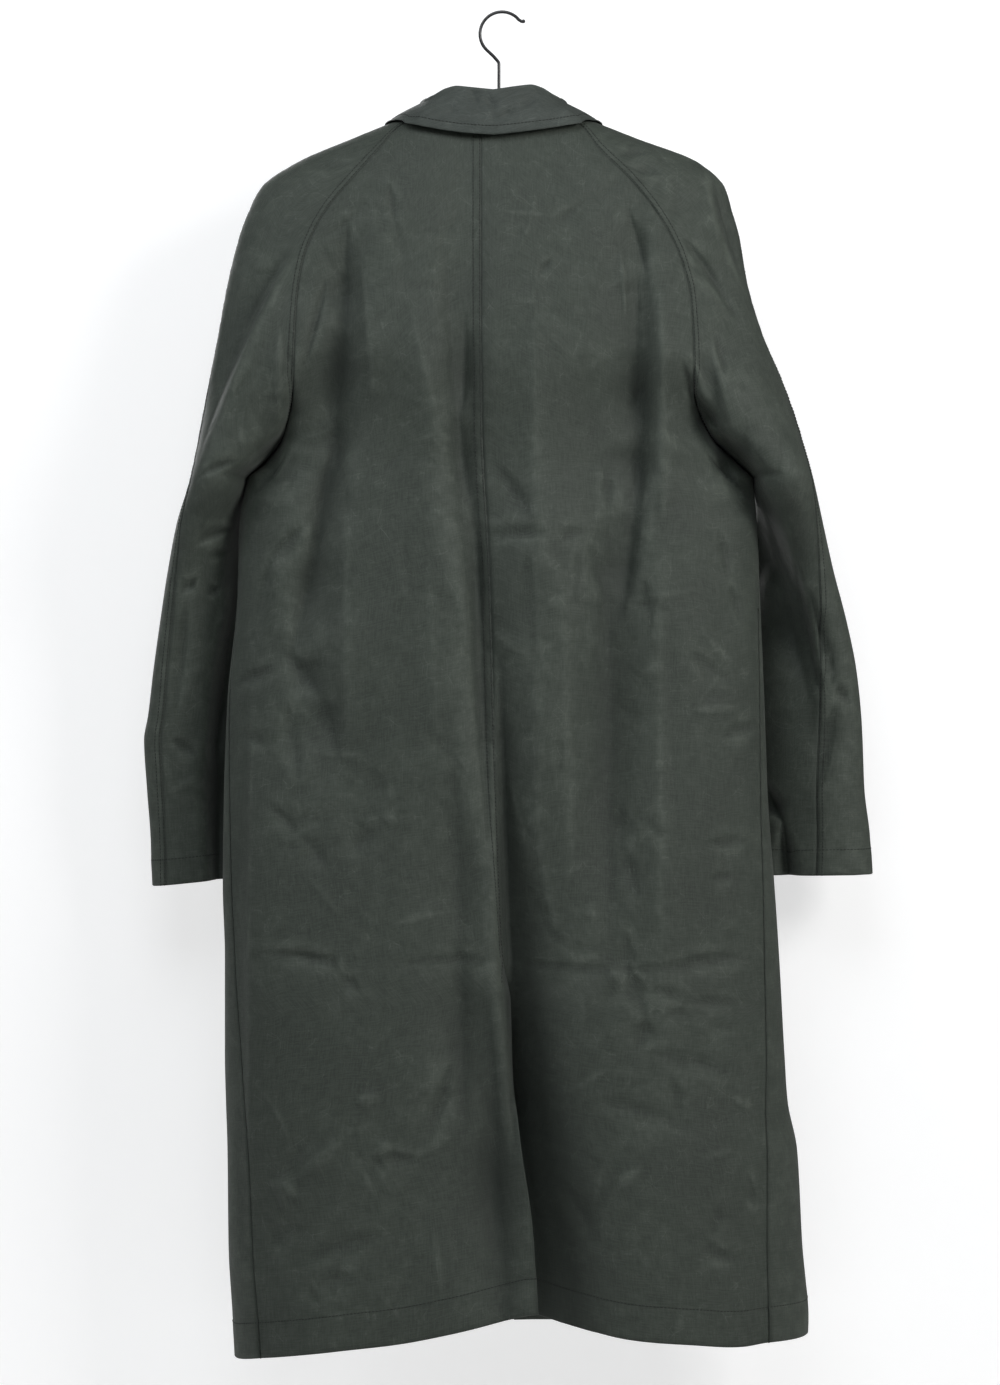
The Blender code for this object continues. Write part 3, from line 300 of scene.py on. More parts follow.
# The creases. Each runs from a first to a last place. Left and right are its widths on each side as
# seen going down it from behind the coat; on a level crease that runs to +X, left is the lower side.
# A ridge has a negative depth. A bow sideways halfway, and a peak, the share of the way along it
# where it is deepest, are written only where the crease isn't straight and even.
Crease = namedtuple("Crease", "x1 z1 x2 z2 left right depth bow peak", defaults=(0.0, 0.5))
BACK_CREASES = in_metres(
    Crease,
    # Long folds that fall from the left shoulder
    (-144.5, -200, -145, -310, 26, 10, 9, 0, 0.65),
    (-144, -285, -158, -400, 24, 15, 9),
    (-156, -385, -153, -440, 10, 12, 5),
    (-156, -410, -180, -520, 12, 22, 9.5),
    (-133, -235, -121, -375, 9, 20, -4.5, 2, 0.55),
    (-163, -258, -184.5, -345, 6, 4, 4),
    (-106, -166, -100, -207, 4, 5, 2.8, 0, 0.6),
    (-101, -200, -90, -285, 9, 8, 2, 3, 0.45),
    (-87, -280, -48, -455, 16, 12, -3, 1, 0.55),
    (-34.5, -288, -38.5, -390, 12, 7, 4.5, 2, 0.6),
    (-40, -380, -30, -475, 13, 9, 4.5, -2),
    # Long valley that slants from the left shoulder to the centre seam and runs down beside it
    (-56, -190, -30, -570, 14, 42, 9.5, 0, 0.7),
    (-30, -430, -9, -830, 12, 38, 14, 0, 0.42),
    # Long folds that fall from the right shoulder, with a soft crest on each side
    (30, -240, 34, -820, 28, 45, -8),
    (146, -470, 148, -1000, 25, 45, -6),
    (116, -188, 135, -258, 14, 6, 5, 1, 0.6),
    (128, -240, 129.5, -415, 27, 10, 7.2, -3, 0.7),
    (130, -400, 124.5, -480, 24, 8, 6.5, 0, 0.4),
    (125, -455, 109, -588, 22, 8, 5.8, 1, 0.45),
    (80, -330, 84, -490, 45, 30, 5, 0, 0.6),
    (109, -225, 116, -300, 4, 3, -2, 1),
    (147, -265, 150, -490, 12, 30, -7.5, 0, 0.6),
    (167, -335, 178.5, -374, 4, 5, 4, 0, 0.6),
    # Short creases between the shoulder blades and at the waist
    (47.4, -240, 32, -259, 3, 4, 2),
    (70.6, -194, 47, -214, 8, 8, 1.8),
    (-2, -197, 46, -202, 4, 4, -1.2, 1),
    (96, -433, 99, -478, 5, 6, 3, 1),
    (-10.4, -425, 28.5, -484, 14, 8, 3.5, 0, 0.7),
    (-14, -503, 45, -499, 3, 14, 2.8, 1, 0.6),
    (48, -507, 80, -494, 3, 6, 1.8, 1),
    (22, -510, 32, -640, 12, 14, 3, 1, 0.35),
    (80, -505, 96.5, -560, 6, 12, 3, 1),
    (96, -540, 97.5, -620, 8, 10, 2.5, 0, 0.4),
    (132, -534, 138, -594, 8, 5, 2),
    (99, -450, 101, -950, 34, 36, 9.5, 0, 0.45),
    (110.5, -745, 113, -795, 8, 8, 2.2),
    (113, -788, 126.5, -840, 8, 8, 2.2, 0, 0.45),
    # Cloth that stands up beside the raglan seams over the underarms
    (-189, -320, -212, -450, 12, 22, -13, 0, 0.55),
    (174, -320, 210, -455, 30, 10, -11, 0, 0.55),
    # Left side below the underarm
    (-164, -468, -199, -620, 14, 32, 13.5, 1),
    (-203, -608, -166, -651, 9, 16, 5.2, 1),
    (-167, -648, -150, -714, 12, 9, 3, 1, 0.3),
    (-186, -487, -223, -527, 6, 8, 3.5, 1),
    (-216, -515, -242, -615, 6, 10, 3.8, 1, 0.45),
    (-253, -640, -211, -621, 4, 6, 4, 1),
    (-249.5, -683, -219, -694, 5, 6, 3.5, 1),
    (-221.5, -747, -189, -777, 4, 6, 2.4, 1, 0.55),
    (-201, -652, -188, -730, 10, 12, 4.5, 0, 0.4),
    (-188, -775, -159, -810, 8, 8, 2.2),
    (-145, -795, -116.5, -771, 8, 10, 2.2),
    # Right side below the underarm
    (202, -490, 213, -544, 5, 6, 3, 1),
    (212, -540, 226, -584, 5, 6, 3),
    (174, -606, 222, -640, 6, 8, 2.5, -2),
    (203.3, -687, 245.7, -675, 4, 7, 3.5, 1),
    (174, -663, 225, -658, 5, 6, -1.8),
    (188, -787, 234, -783, 4, 6, 2.5),
    (191.7, -818, 219, -816, 4, 5, 2),
    # Side that stands out behind the left side seam
    (-234, -640, -237, -1180, 10, 80, -14.5),
    # Soft waves down the middle
    (-146, -475, -143, -700, 20, 30, -5),
    (-67, -522, -60, -700, 20, 20, -2),
    (-46, -690, -38, -900, 28, 12, 4.5, 1, 0.6),
    (-40, -870, -36, -1060, 22, 24, 10, 0, 0.45),
    (-39, -522, -30, -624, 6, 6, -3),
    (-22, -488, -21, -585, 6, 8, 3.5),
    (-113, -650, -132, -819, 25, 30, 3, -3),
    (54, -522, 63, -837, 25, 30, -4, 3),
    (155, -541, 165, -819, 30, 20, 3.5, -3),
    (-130, -774, -112, -757, 4, 5, -1.8),
    (-114, -757, -93, -767, 4, 4, -1.8),
    # Valley that runs down beside the seam to the vent
    (-4, -600, 12, -1080, 6, 42, 27, 0, 0.62),
    (-3, -702, 53, -868, 10, 14, -3, 0, 0.6),
    (8, -720, 44, -850, 6, 7, 1.8, 0, 0.6),
    # Level crease where the coat was once folded, with its short branches
    (-256, -886, -113, -895, 6, 3, 1.6, 2),
    (-113, -895, -2, -890, 5, 3, 1.2, 1),
    (3, -895, 128, -900, 6, 4, 1.6, -2),
    (91, -904, 248, -893, 6, 4, 1.8, 1),
    (-214.8, -884, -149, -898, 4, 4, 2.6, 1, 0.55),
    (-150, -906, -130, -923, 3, 4, 2.2, 1, 0.45),
    (-149, -886, -148, -902, 3, 3, -1.5),
    (116, -865, 116.5, -908, 12, 6, 2.8, 0, 0.6),
    (115, -895, 135, -950, 12, 6, 3, 1, 0.4),
    (135, -945, 124, -977, 8, 8, 3, 0, 0.4),
    (96, -893, 113, -924, 6, 4, -1.8, 1),
    (131, -918, 178, -933, 3, 5, 2, 1, 0.4),
    (172, -931, 229, -936, 3, 5, 1.6, 0, 0.4),
    (162, -893, 229, -889, 5, 4, 2.2),
    (150, -939, 178, -948, 3, 4, 1.4),
    (193, -960, 225, -952, 3, 4, 1.4, 0, 0.4),
    # Skirt, left
    (-14, -900, 6, -1310, 46, 32, 18.5, 0, 0.45),
    (-45, -985, -69, -1062, 10, 8, 3.8),
    (-14, -1045, -7, -1170, 16, 10, 4),
    (-138, -1026, -112, -1016, 6, 6, -2.8),
    (-121, -1072, -98.5, -1061, 3, 5, -3),
    (-119, -1090, -111, -1074, 4, 5, 2.2, 0, 0.6),
    (-111, -1074, -72, -1075, 6, 3, 2.5, 0, 0.4),
    (-219, -1098, -188, -1113, 12, 8, -4, 2),
    (-192, -1098, -145, -1058, 9, 10, -3.5, 1),
    (-222.5, -1162, -180, -1135, 6, 8, 2.8, 1, 0.35),
    (-187, -1172, -102, -1144, 10, 12, 2.5, 3),
    (-176, -1190, -134, -1183, 12, 12, 2.5),
    # Skirt, right
    (81, -1022, 183, -1052, 10, 14, 2.5, 3),
    (128, -976, 220, -1002, 12, 10, 2.5, 2),
    (154.6, -996, 166, -1042, 6, 8, 2.2),
    (212.5, -1019, 235.6, -1035, 5, 6, -2.2),
    (242, -1035, 260, -1058, 5, 6, 3),
    (228, -1090, 235.5, -1128, 4, 4, 2.5),
    (102, -1107, 130, -1082, 8, 6, -2, 1),
    (54, -1096, 91, -1161, 10, 12, 2.5, 2),
    (182, -1158, 220, -1173, 4, 5, 2.2),
)
SLEEVE_BACK_CREASES = in_metres(
    Crease,
    # Left sleeve: the long ridge, the roll over the raglan seam, elbow and forearm
    (-196, -228, -283, -427, 32, 4, 15, -8, 0.45),
    (-190.5, -232, -275, -425, 4, 20, -6, -7),
    (-189.2, -151.5, -138.4, -151, 4, 6, 2.5),
    (-206, -300, -208, -400, 14, 6, -6, 0, 0.6),
    (-196, -330, -198.5, -397, 3, 5, 3.5, 0, 0.7),
    (-199, -396, -240, -434, 3, 6, 7, 0, 0.6),
    (-288, -446, -244, -427, 4, 6, 4, 1),
    (-288.5, -505, -253, -488, 4, 7, 7, 1),
    (-280.5, -520, -257, -508, 4, 5, 3.5),
    (-304, -552, -288, -536, 4, 5, 4),
    (-280.5, -553, -267, -544, 4, 5, 3.5),
    (-298, -555, -311, -665, 10, 6, 4),
    (-315.6, -688, -288, -707, 4, 6, 3.5),
    # Left sleeve: where it turns in behind the body
    (-248, -455, -256, -590, 6, 60, 28, 0, 0.55),
    (-255, -535, -276, -710, 6, 60, 30, 0, 0.6),
    (-275, -650, -273, -900, 7, 60, 30, 0, 0.35),
    # Right sleeve: shoulder, roll over the raglan seam, elbow and forearm
    (196, -155, 234, -275, 4, 30, 13, -2),
    (190, -158, 227.5, -268, 16, 4, -5, -2),
    (108.5, -141.7, 137.8, -137.8, 4, 6, 2.5),
    (122, -155.4, 149.5, -159.3, 4, 6, 2.5),
    (169.5, -219.5, 224, -302, 6, 8, 6.5, 2, 0.35),
    (197, -306, 208, -354, 5, 8, 2.8, 1),
    (195, -310, 230, -470, 8, 45, -8, -2, 0.55),
    (228, -400, 264, -530, 6, 45, -11),
    (177, -362, 205, -402, 12, 4, 12, 0, 0.6),
    (199, -396, 240, -440, 14, 4, 15, 0, 0.55),
    (230, -420, 283, -555, 40, 5, 20, 0, 0.55),
    (276, -515, 304, -650, 30, 4, 14, 0, 0.45),
    (288, -540, 318, -645, 8, 7, 6, 1, 0.6),
    (315, -636, 335, -662, 4, 6, 4, 0, 0.4),
    (318, -650, 301, -745, 10, 8, 4, 0, 0.4),
    (252, -728, 270, -770, 12, 5, 10, 0, 0.6),
    (269, -762, 278, -840, 10, 6, 14, 0, 0.7),
    (321, -718, 337, -748, 3, 3, -2),
    (307, -549, 343, -577, 4, 6, 2.8, 1),
)
FRONT_CREASES = in_metres(
    Crease,
    (-115, -240, -148, -470, 16, 8, 7.5, 3),
    (112, -235, 135, -480, 8, 18, 7.5, -3, 0.45),
    (-150, -300, -185, -380, 6, 6, 3.8, 2),
    (150, -290, 172, -375, 6, 6, 3.8, -2),
    (-235, -500, -170, -462, 6, 9, 5.2, 3, 0.4),
    (232, -505, 168, -470, 9, 6, 5.2, -3, 0.4),
    (-220, -600, -150, -640, 6, 10, 4.5, 2),
    (150, -610, 225, -640, 7, 9, 4.5, -2),
    (-80, -500, -90, -860, 25, 30, -4.5, 4),
    (85, -520, 95, -840, 30, 25, -4.5, -4),
    (-250, -888, -90, -896, 6, 3, 1.8, 2),
    (70, -898, 248, -892, 6, 4, 1.8, 1),
    (-210, -1080, -120, -1040, 11, 11, -3.8, 3),
    (110, -1060, 200, -1090, 11, 11, -3.8, -3),
    (-140, -1170, -90, -1130, 8, 8, 3, 2),
)
SLEEVE_FRONT_CREASES = in_metres(
    Crease,
    (-205, -235, -270, -400, 14, 8, 6, -4),
    (195, -210, 255, -380, 8, 14, 6, 4),
    (-295, -480, -255, -455, 5, 6, 3.8, 1),
    (-310, -560, -255, -540, 5, 6, 3.8, 1),
    (-300, -620, -265, -790, 10, 10, 4.5, 3),
    (255, -470, 300, -490, 6, 5, 3.8, -1),
    (262, -560, 325, -580, 6, 5, 3.8, -1),
    (300, -620, 275, -790, 10, 10, 4.5, -3),
)
COLLAR_CREASES = in_metres(
    Crease,
    (-16, -83, -5, -102, 4, 5, 3.6),
    (-6, -100, -9, -113, 3, 4, 2.2),
    (-6, -110, 17, -98, 4, 5, 3),
    (15, -99, 36, -85, 4, 6, 3),
    (-30, -78, -22, -96, 4, 5, 2.6),
    (-58, -103.5, -39, -98.5, 4, 4, 1.8),
    (50, -95, 75, -108, 5, 5, -1.8),
    (-85, -112, -55, -92, 6, 6, -2.2),
)
CREASE_POWER = 1.35
CREASE_GAIN = 1.4
END_WIDTH = 0.35
END_POWER = 0.7

# Small crumples, scattered by a seeded draw
Crumples = namedtuple("Crumples", "seed count left right bottom top")
BACK_CRUMPLES = Crumples(11, 210, -0.250, 0.250, -1.240, -0.150)
FRONT_CRUMPLES = Crumples(23, 110, -0.250, 0.250, -1.230, -0.180)
SLEEVE_BACK_CRUMPLES = Crumples(37, 120, -0.340, 0.340, -0.800, -0.130)
SLEEVE_FRONT_CRUMPLES = Crumples(41, 70, -0.340, 0.340, -0.800, -0.130)
CRUMPLE_LENGTH = (0.020, 0.090)
CRUMPLE_WIDTH = (0.0024, 0.0060)
CRUMPLE_DEPTH = (0.0003, 0.0009)
CRUMPLE_RIDGE_SHARE = 0.35
CRUMPLE_BOW = (-0.1, 0.1)
CRUMPLE_PEAK = (0.3, 0.7)
CRUMPLE_SKEW = (0.7, 1.6)

# Collar: at each angle from the centre back, how high the fold line stands over the neck seam,
# how far it leans out, and how far the fall's edge reaches out and drops
Collar = namedtuple("Collar", "angle stand lean reach drop")
COLLAR = in_metres(
    Collar,
    (0, 28.5, 2, 13, 15.5),
    (18, 31.4, -1, 13.6, 13.5),
    (27, 32.2, -3, 14, 12.5),
    (35, 29, -4, 14.8, 11.5),
    (45, 21.3, -6, 17.2, 9.8),
    (57, 16, -10, 20, 8),
    (75, 11.8, -6, 26.5, 9.3),
    (90, 11.8, -5, 31, 10.5),
    (115, 12, -6, 24, 25),
    (140, 14, -4, 18, 48),
    (165, 14, -2, 16, 70),
    (180, 12, -2, 14, 74),
)
COLLAR_LAYERS = 1.2
COLLAR_BACK_SHARPNESS = 2
COLLAR_END_GAP = 0.012
COLLAR_SPREAD = 0.045
COLLAR_ROLL = 0.0034
FALL_BULGE = 0.0025
COLLAR_SEAM_GAP = 0.0005
COLLAR_CLEARANCE = 0.0024
COLLAR_OPENS_AT = 120
COLLAR_SPREADS_OVER = 60
COLLAR_LIFTS_OVER = 40
CLEARING_ROUNDS = 12
SLOPE_STEP = 0.0005
COLLAR_FRONT_COLUMNS = 40
COLLAR_SLEEVE_COLUMNS = 18
COLLAR_BACK_COLUMNS = 44
STAND_ROWS = 10
ROLL_ROWS = 10
FALL_ROWS = 22

# Seams and hems: each welt is a raised band beside a seam, with its stitch lines at these distances
WELT_WIDTH = 0.0090
WELT_HEIGHT = 0.0003
WELT_SOFT = 0.0015
SEAM_GROOVE = 0.0004
SEAM_GROOVE_WIDTH = 0.0011
STITCH_DENT = 0.00016
STITCH_DENT_WIDTH = 0.0012
PUCKER_PITCH = 0.011
PUCKER_DEPTH = 0.00035
PUCKER_WIDTH = 0.012
PUCKER_WAVES = (1.0, 0.61, 1.7)
PUCKER_PHASE = 6.28
SEEDS = SimpleNamespace(back_hem=5, centre=3, side=7, front_hem=9, cuff=13, raglan=17, overarm=19, collar=29)
HEM_RISE = 0.0003
HEM_RISE_SOFT = 0.004
HEM_EDGE_SOFT = 0.0016
HEM_STITCH_INSET = 0.0015
HEM_PUCKER_DEPTH = 1.3 * PUCKER_DEPTH
RAGLAN_STITCHES = (0.0018, 0.0064)
CENTRE_STITCHES = (0.0015, 0.0078)
OVERARM_STITCHES = (0.0016, 0.0062)
FRONT_EDGE_STITCH = 0.0060
VENT_EDGE_STITCH = 0.0300
VENT_TACK_FOOT_Z = -0.916
VENT_TACK_WIDTH = 0.018
COLLAR_STITCH = 0.0080
STITCH_LIFT = 0.00012
STITCH_SHARE = 0.8
STITCH_BALL = {"Segments": 6, "Rings": 4, "Radius": 0.5}
Stitching = namedtuple("Stitching", "pitch thread share")

# Buttons down the centre front, each turned from a profile given in shares of radius and thickness
BUTTON_HEIGHTS = [-0.235, -0.365, -0.495, -0.625, -0.755]
BUTTON_RADIUS = 0.011
BUTTON_THICKNESS = 0.0036
BUTTON_SIDES = 48
BUTTON_SHARP_ANGLE = 35
Turn = namedtuple("Turn", "radius height")
BUTTON_PROFILE = [
    Turn(0.00, 0.00),
    Turn(0.70, 0.00),
    Turn(0.80, 0.03),
    Turn(0.90, 0.16),
    Turn(0.97, 0.34),
    Turn(1.00, 0.52),
    Turn(0.995, 0.72),
    Turn(0.96, 0.90),
    Turn(0.91, 0.985),
    Turn(0.86, 1.00),
    Turn(0.80, 0.95),
    Turn(0.74, 0.78),
    Turn(0.68, 0.66),
    Turn(0.60, 0.62),
    Turn(0.00, 0.60),
]
BUTTON_HOLE_RADIUS = 0.0010
BUTTON_HOLE_SPREAD = 0.0019
BUTTONHOLE_LENGTH = 0.026
BUTTONHOLE_WIDTH = 0.0034
BUTTONHOLE_SHIFT = 0.004
BUTTONHOLE_POINTS = 61
DRILL_LOW = -0.002
DRILL_HIGH = 0.006
DRILL_SIDES = 12
CROSS_LEVEL = 0.66
CROSS_POINTS = 5
BUTTON_THREAD = Stitching(0.0009, 0.0007, 1.3)
BUTTONHOLE_THREAD = Stitching(0.0010, 0.0012, 1.1)

# Hanger
WIRE_RADIUS = 0.0015
HOOK_RADIUS = 0.021
HOOK_START_ANGLE = 218
HOOK_END_ANGLE = 40
HOOK_ARC_POINTS = 18
STEM_X = -0.003
STEM_TOP_Z = -0.048
STEM_BEND_LENGTH = 0.012
STEM_LEAN_X = 0.0035
STEM_LEAN_Z = 0.0055
HOOK_TIP_REACH = 0.006
HOOK_TIP_DROP = 0.001
HOOK_TIP_SAG = 0.0016
HOOK_KNOB = 1.35
HOOK_KNOB_LENGTH = 0.004
HOOK_TIP_FLAT = 0.02
HOOK_STEPS = 10
HOOK_SIDES = 16
BAR_CENTRE_TOP_Z = -0.0905
BAR_LEFT_X = -0.178
BAR_RIGHT_X = 0.162
BAR_CLEARANCE = 0.0006
BAR_HEIGHT = 0.032
BAR_HALF_WIDTH = 0.0085
BAR_SECTIONS = 90
BAR_SIDES = 32
BAR_END_TAPER = 0.012
BAR_END_ROUNDING = 0.98
BAR_SEAT_GAP = 0.0003
RIDGE_SAMPLES = 300

# Waxed cloth: its noises, the facets and thin pale lines of old creases, the spans of each noise
# that count, and how much each effect weighs
CLOUDS = {"Scale": 14.0, "Detail": 5.0, "Roughness": 0.6}
BLOTCHES = {"Scale": 70.0, "Detail": 4.0, "Roughness": 0.6}
GRAIN = {"Scale": 650.0, "Detail": 2.0, "Roughness": 0.7}
SLUBS = {"Scale": 1.0, "Detail": 2.0, "Roughness": 0.6}
SLUB_STRETCHES = ((800.0, 60.0, 1.0), (60.0, 800.0, 1.0))
WEAVE_SCALE = 330.0
BEND_DETAIL = 2.0
Facet = namedtuple("Facet", "scale line height")
FACETS = (Facet(24.0, 0.010, 12.0), Facet(60.0, 0.022, 4.0))
SPANS = SimpleNamespace(
    slubs=(0.85, 1.15), cloudy=(0.35, 0.68), blotched=(0.40, 0.70), grained=(0.30, 0.70),
    ridge=(0.05, 0.75), hollow=(-0.10, -0.90), wear=(0.3, 0.6, 0.35, 1.0), broken=(0.50, 0.60),
    creased=(0.40, 0.62), rough=(0.0, 1.0, 0.62, 0.70), streaks=(0.35, 0.65))
PALE = SimpleNamespace(worn=0.38, cloudy=0.30, grained=0.20, slubs=0.26, crack=0.38)
# Weights of the dark colour: hollow and deep are painted shade, in sunken cloth and in folds, the vent's
# hollow and seams; clear is the cloth's own darker clouds
DARK = SimpleNamespace(hollow=0.35, clear=0.42, deep=0.68)
HEIGHT = SimpleNamespace(weave=0.5, grain=0.6, blotches=1.5)
GRAIN_ROUGHNESS = 0.06
CLOTH_SHINE = {"Roughness": 0.6, "Specular IOR Level": 0.4, "Sheen Weight": 0.06, "Sheen Roughness": 0.5}
Bump = namedtuple("Bump", "strength height")
CLOTH_BUMP = Bump(0.55, 0.00035)

# Streaked finishes: light and dark are shares of the finish's own colour
STREAKS = {"Detail": 6.0, "Roughness": 0.65}
STREAK_HEIGHT = 0.0003
CLEAR_COAT_ROUGHNESS = 0.2
Finish = namedtuple("Finish", "name light dark stretch scale roughness bump clear_coat")
HORN = Finish("dark_horn", 2.6, 1.0, (1.0, 1.0, 3.0), 160.0, 0.32, 0.08, 0.25)
LACQUER = Finish("black_lacquer", 2.2, 1.0, (1.0, 1.0, 1.0), 900.0, 0.34, 0.10, 0.3)
WOOD = Finish("stained_wood", 2.0, 1.0, (0.06, 1.0, 1.0), 420.0, 0.45, 0.25, 0.15)
THREAD = Finish("sewing_thread", 1.0, 0.6, (1.0, 1.0, 1.0), 2500.0, 0.7, 0.4, 0.0)

# Camera and stage
IMAGE_HEIGHT = 1385
METRES_A_PIXEL = 0.00095
CAMERA_PLACE = (-0.0019, -3.5, -0.64505)
SENSOR = 36.0
FLOOR_Z = -1.46
WALL_Y = 0.114
WALL_TOP_Z = 3.0
STAGE_REACH = 4.0
WORLD_LIGHT = 0.03
WHITE = (1.0, 1.0, 1.0, 1.0)
FLOOR_FINISH = {"Base Color": (0.80, 0.80, 0.79, 1.0), "Roughness": 0.9}
WALL_FINISH = {"Base Color": (0.55, 0.55, 0.56, 1.0), "Roughness": 0.95, "Specular IOR Level": 0.0,
               "Emission Color": WHITE, "Emission Strength": 0.62}
Lamp = namedtuple("Lamp", "name place target width power colour")
LAMPS = [
    Lamp("key_light", (1.75, -1.55, 0.45), (0.0, 0.0, -0.50), 0.9, 36.0, (1.0, 0.99, 0.97)),
    Lamp("side_fill", (-2.00, -0.80, 0.75), (0.0, 0.0, -0.45), 1.2, 17.0, (0.97, 1.0, 1.02)),
    Lamp("top_light", (-0.25, -1.50, 0.95), (0.0, 0.0, -0.40), 1.2, 18.0, (0.96, 1.0, 1.03)),
    Lamp("front_light", (-1.2, 2.8, 0.6), (0.0, 0.0, -0.65), 1.8, 55.0, (1.0, 1.0, 1.0)),
]

# The two sides, the halves of a sleeve and the body that every piece rides on
SIDE_SIGN = {"left": -1.0, "right": 1.0}
SIDES = ("left", "right")
HALVES = {"back": BACK_FACE, "front": FRONT_FACE}
OTHER_TUBE = {"body": "sleeve", "sleeve": "body"}
BODY_NAME = "root"

# Rubbed ridges, painted shade in hollows, folds and seams, and the walls' rounded edges
BLUR_ROUNDS = 10
RUB_RISE = 0.0006
SEAM_SHADE = 0.55
SEAM_SHADE_WIDTH = 0.0014
DEEP_START = 0.008
DEEP_RANGE = 0.021
EDGE_ROUND = 0.45
SEAM_SETBACK = 0.00006

# Each panel's grid, normals and lengths, by the name of its piece
panels = {}


# Curves through the tables

def smooth_through(knots, values):
    """A curve through the points that doesn't overshoot between them."""
    order = np.argsort(knots)
    x = np.asarray(knots, float)[order]
    y = np.asarray(values, float)[order]
    step = np.diff(x)
    rise = np.diff(y) / step
    slope = np.zeros_like(y)
    slope[0] = rise[0]
    slope[-1] = rise[-1]
    for i in range(1, len(x) - 1):
        if rise[i - 1] * rise[i] > 0:
            slope[i] = 2 * rise[i - 1] * rise[i] / (rise[i - 1] + rise[i])

    def value(at):
        at = np.clip(np.asarray(at, float), x[0], x[-1])
        i = np.clip(np.searchsorted(x, at) - 1, 0, len(x) - 2)
        t = (at - x[i]) / step[i]
        start = y[i] * (1 + 2 * t) * (1 - t) ** 2 + slope[i] * step[i] * t * (1 - t) ** 2
        end = y[i + 1] * t * t * (3 - 2 * t) + slope[i + 1] * step[i] * t * t * (t - 1)
        return start + end

    return value


def curves(table):
    """One curve for each column of a table, against its first column."""
    names = table[0]._fields
    keys = [row[0] for row in table]
    found = {}
    for index, name in enumerate(names[1:], start=1):
        found[name] = smooth_through(keys, [row[index] for row in table])
    return SimpleNamespace(**found)


outer = curves(OUTER_EDGE)
shoulder = curves(SHOULDER)
raglan = curves(RAGLAN)
body = curves(BODY)
sleeve = curves(SLEEVE)
centre_back = curves(CENTRE_BACK).x
centre_front = curves(CENTRE_FRONT).x
hem = curves(HEM)
collar_table = curves(COLLAR)


def ease(t):
    """Smooth step from 0 to 1."""
    t = np.clip(t, 0.0, 1.0)
    return t * t * (3 - 2 * t)


def lobe(position, power, root):
    """Rounded section: 1 in the middle and 0 at the edges, where position is -1 and 1."""
    return np.clip(1.0 - np.abs(position) ** power, 0.0, 1.0) ** root


# The cloth's shape

def split(z, face=BACK_FACE):
    """How far the body and the sleeves have parted at a level, from 0 to 1."""
    top_z = PARTING[face].top_z
    return ease((top_z - z) / (top_z - UNDERARM_Z))


def edge_root(power, z, face):
    """How sharply a tube turns at its edges: a crease at the underarm, round further down."""
    root = PARTING[face].root
    creased = 1 + (root - 1) * split(z, face)
    return creased + (1 / power - root) * ease((UNDERARM_Z - z) / ROUND_BELOW)


def tube_edge(tube, side, z):
    """Edge of the body, or inner edge of a sleeve; above the underarm both are the raglan seam."""
    return np.where(z <= UNDERARM_Z, getattr(tube, side)(z), getattr(raglan, side)(z))


def on_face(tube, face):
    """Curve of a tube's half depth on its back or its front."""
    return tube.back if face == BACK_FACE else tube.front


def across_share(x, left, right):
    """Place across a tube, from -1 at its left edge to 1 at its right edge."""
    return np.clip((2 * x - left - right) / (right - left), -1.0, 1.0)


def fold_depth(folds, x, z):
    """How far the folds sink into the coat at a point."""
    total = np.zeros(np.broadcast(x, z).shape)
    for fold in folds:
        along = (fold.top_z - z) / (fold.top_z - fold.foot_z)
        inside = np.clip(along, 0.0, 1.0)
        line = fold.top_x + (fold.foot_x - fold.top_x) * inside + 4 * fold.bow * inside * (1 - inside)
        width = np.where(x < line, fold.left_width, fold.right_width)
        early = (1 - inside) * (1 - 2 * inside)
        late = inside * (2 * inside - 1)
        depth = fold.top * early + 4 * fold.middle * inside * (1 - inside) + fold.foot * late
        beyond = np.exp(-((along - inside) / FOLD_END_FADE) ** 2)
        total = total + depth * beyond * np.exp(-((x - line) / width) ** 2)
    return total


def crease_depth(creases, x, z):
    """How far the creases sink into the coat at a point."""
    total = np.zeros(np.broadcast(x, z).shape)
    for crease in creases:
        run_x = crease.x2 - crease.x1
        run_z = crease.z2 - crease.z1
        length = math.hypot(run_x, run_z)
        along = ((x - crease.x1) * run_x + (z - crease.z1) * run_z) / length ** 2
        inside = np.clip(along, 0.0, 1.0)
        beside = ((z - crease.z1) * run_x - (x - crease.x1) * run_z) / length
        beside = beside - 4 * crease.bow * inside * (1 - inside)
        rise = np.where(
            inside < crease.peak,
            ease(inside / crease.peak),
            ease((1 - inside) / (1 - crease.peak)),
        )
        width = np.where(beside < 0, crease.left, crease.right) * (END_WIDTH + (1 - END_WIDTH) * rise)
        depth = CREASE_GAIN * crease.depth * rise ** END_POWER
        total = total + depth * np.exp(-np.abs(beside / width) ** CREASE_POWER)
    return total


def small_creases(crumples):
    """Scatter short shallow creases over an area."""
    draw = np.random.default_rng(crumples.seed)
    found = []
    for _ in range(crumples.count):
        x = draw.uniform(crumples.left, crumples.right)
        z = draw.uniform(crumples.bottom, crumples.top)
        length = draw.uniform(*CRUMPLE_LENGTH)
        turned = draw.uniform(0.0, math.pi)
        width = draw.uniform(*CRUMPLE_WIDTH)
        depth = draw.uniform(*CRUMPLE_DEPTH)
        if draw.random() < CRUMPLE_RIDGE_SHARE:
            depth = -depth
        run_x = length * math.cos(turned)
        run_z = -length * math.sin(turned)
        bow = draw.uniform(*CRUMPLE_BOW) * length
        peak = draw.uniform(*CRUMPLE_PEAK)
        skew = draw.uniform(*CRUMPLE_SKEW)
        found.append(Crease(x, z, x + run_x, z + run_z, width, width * skew, depth, bow, peak))
    return found


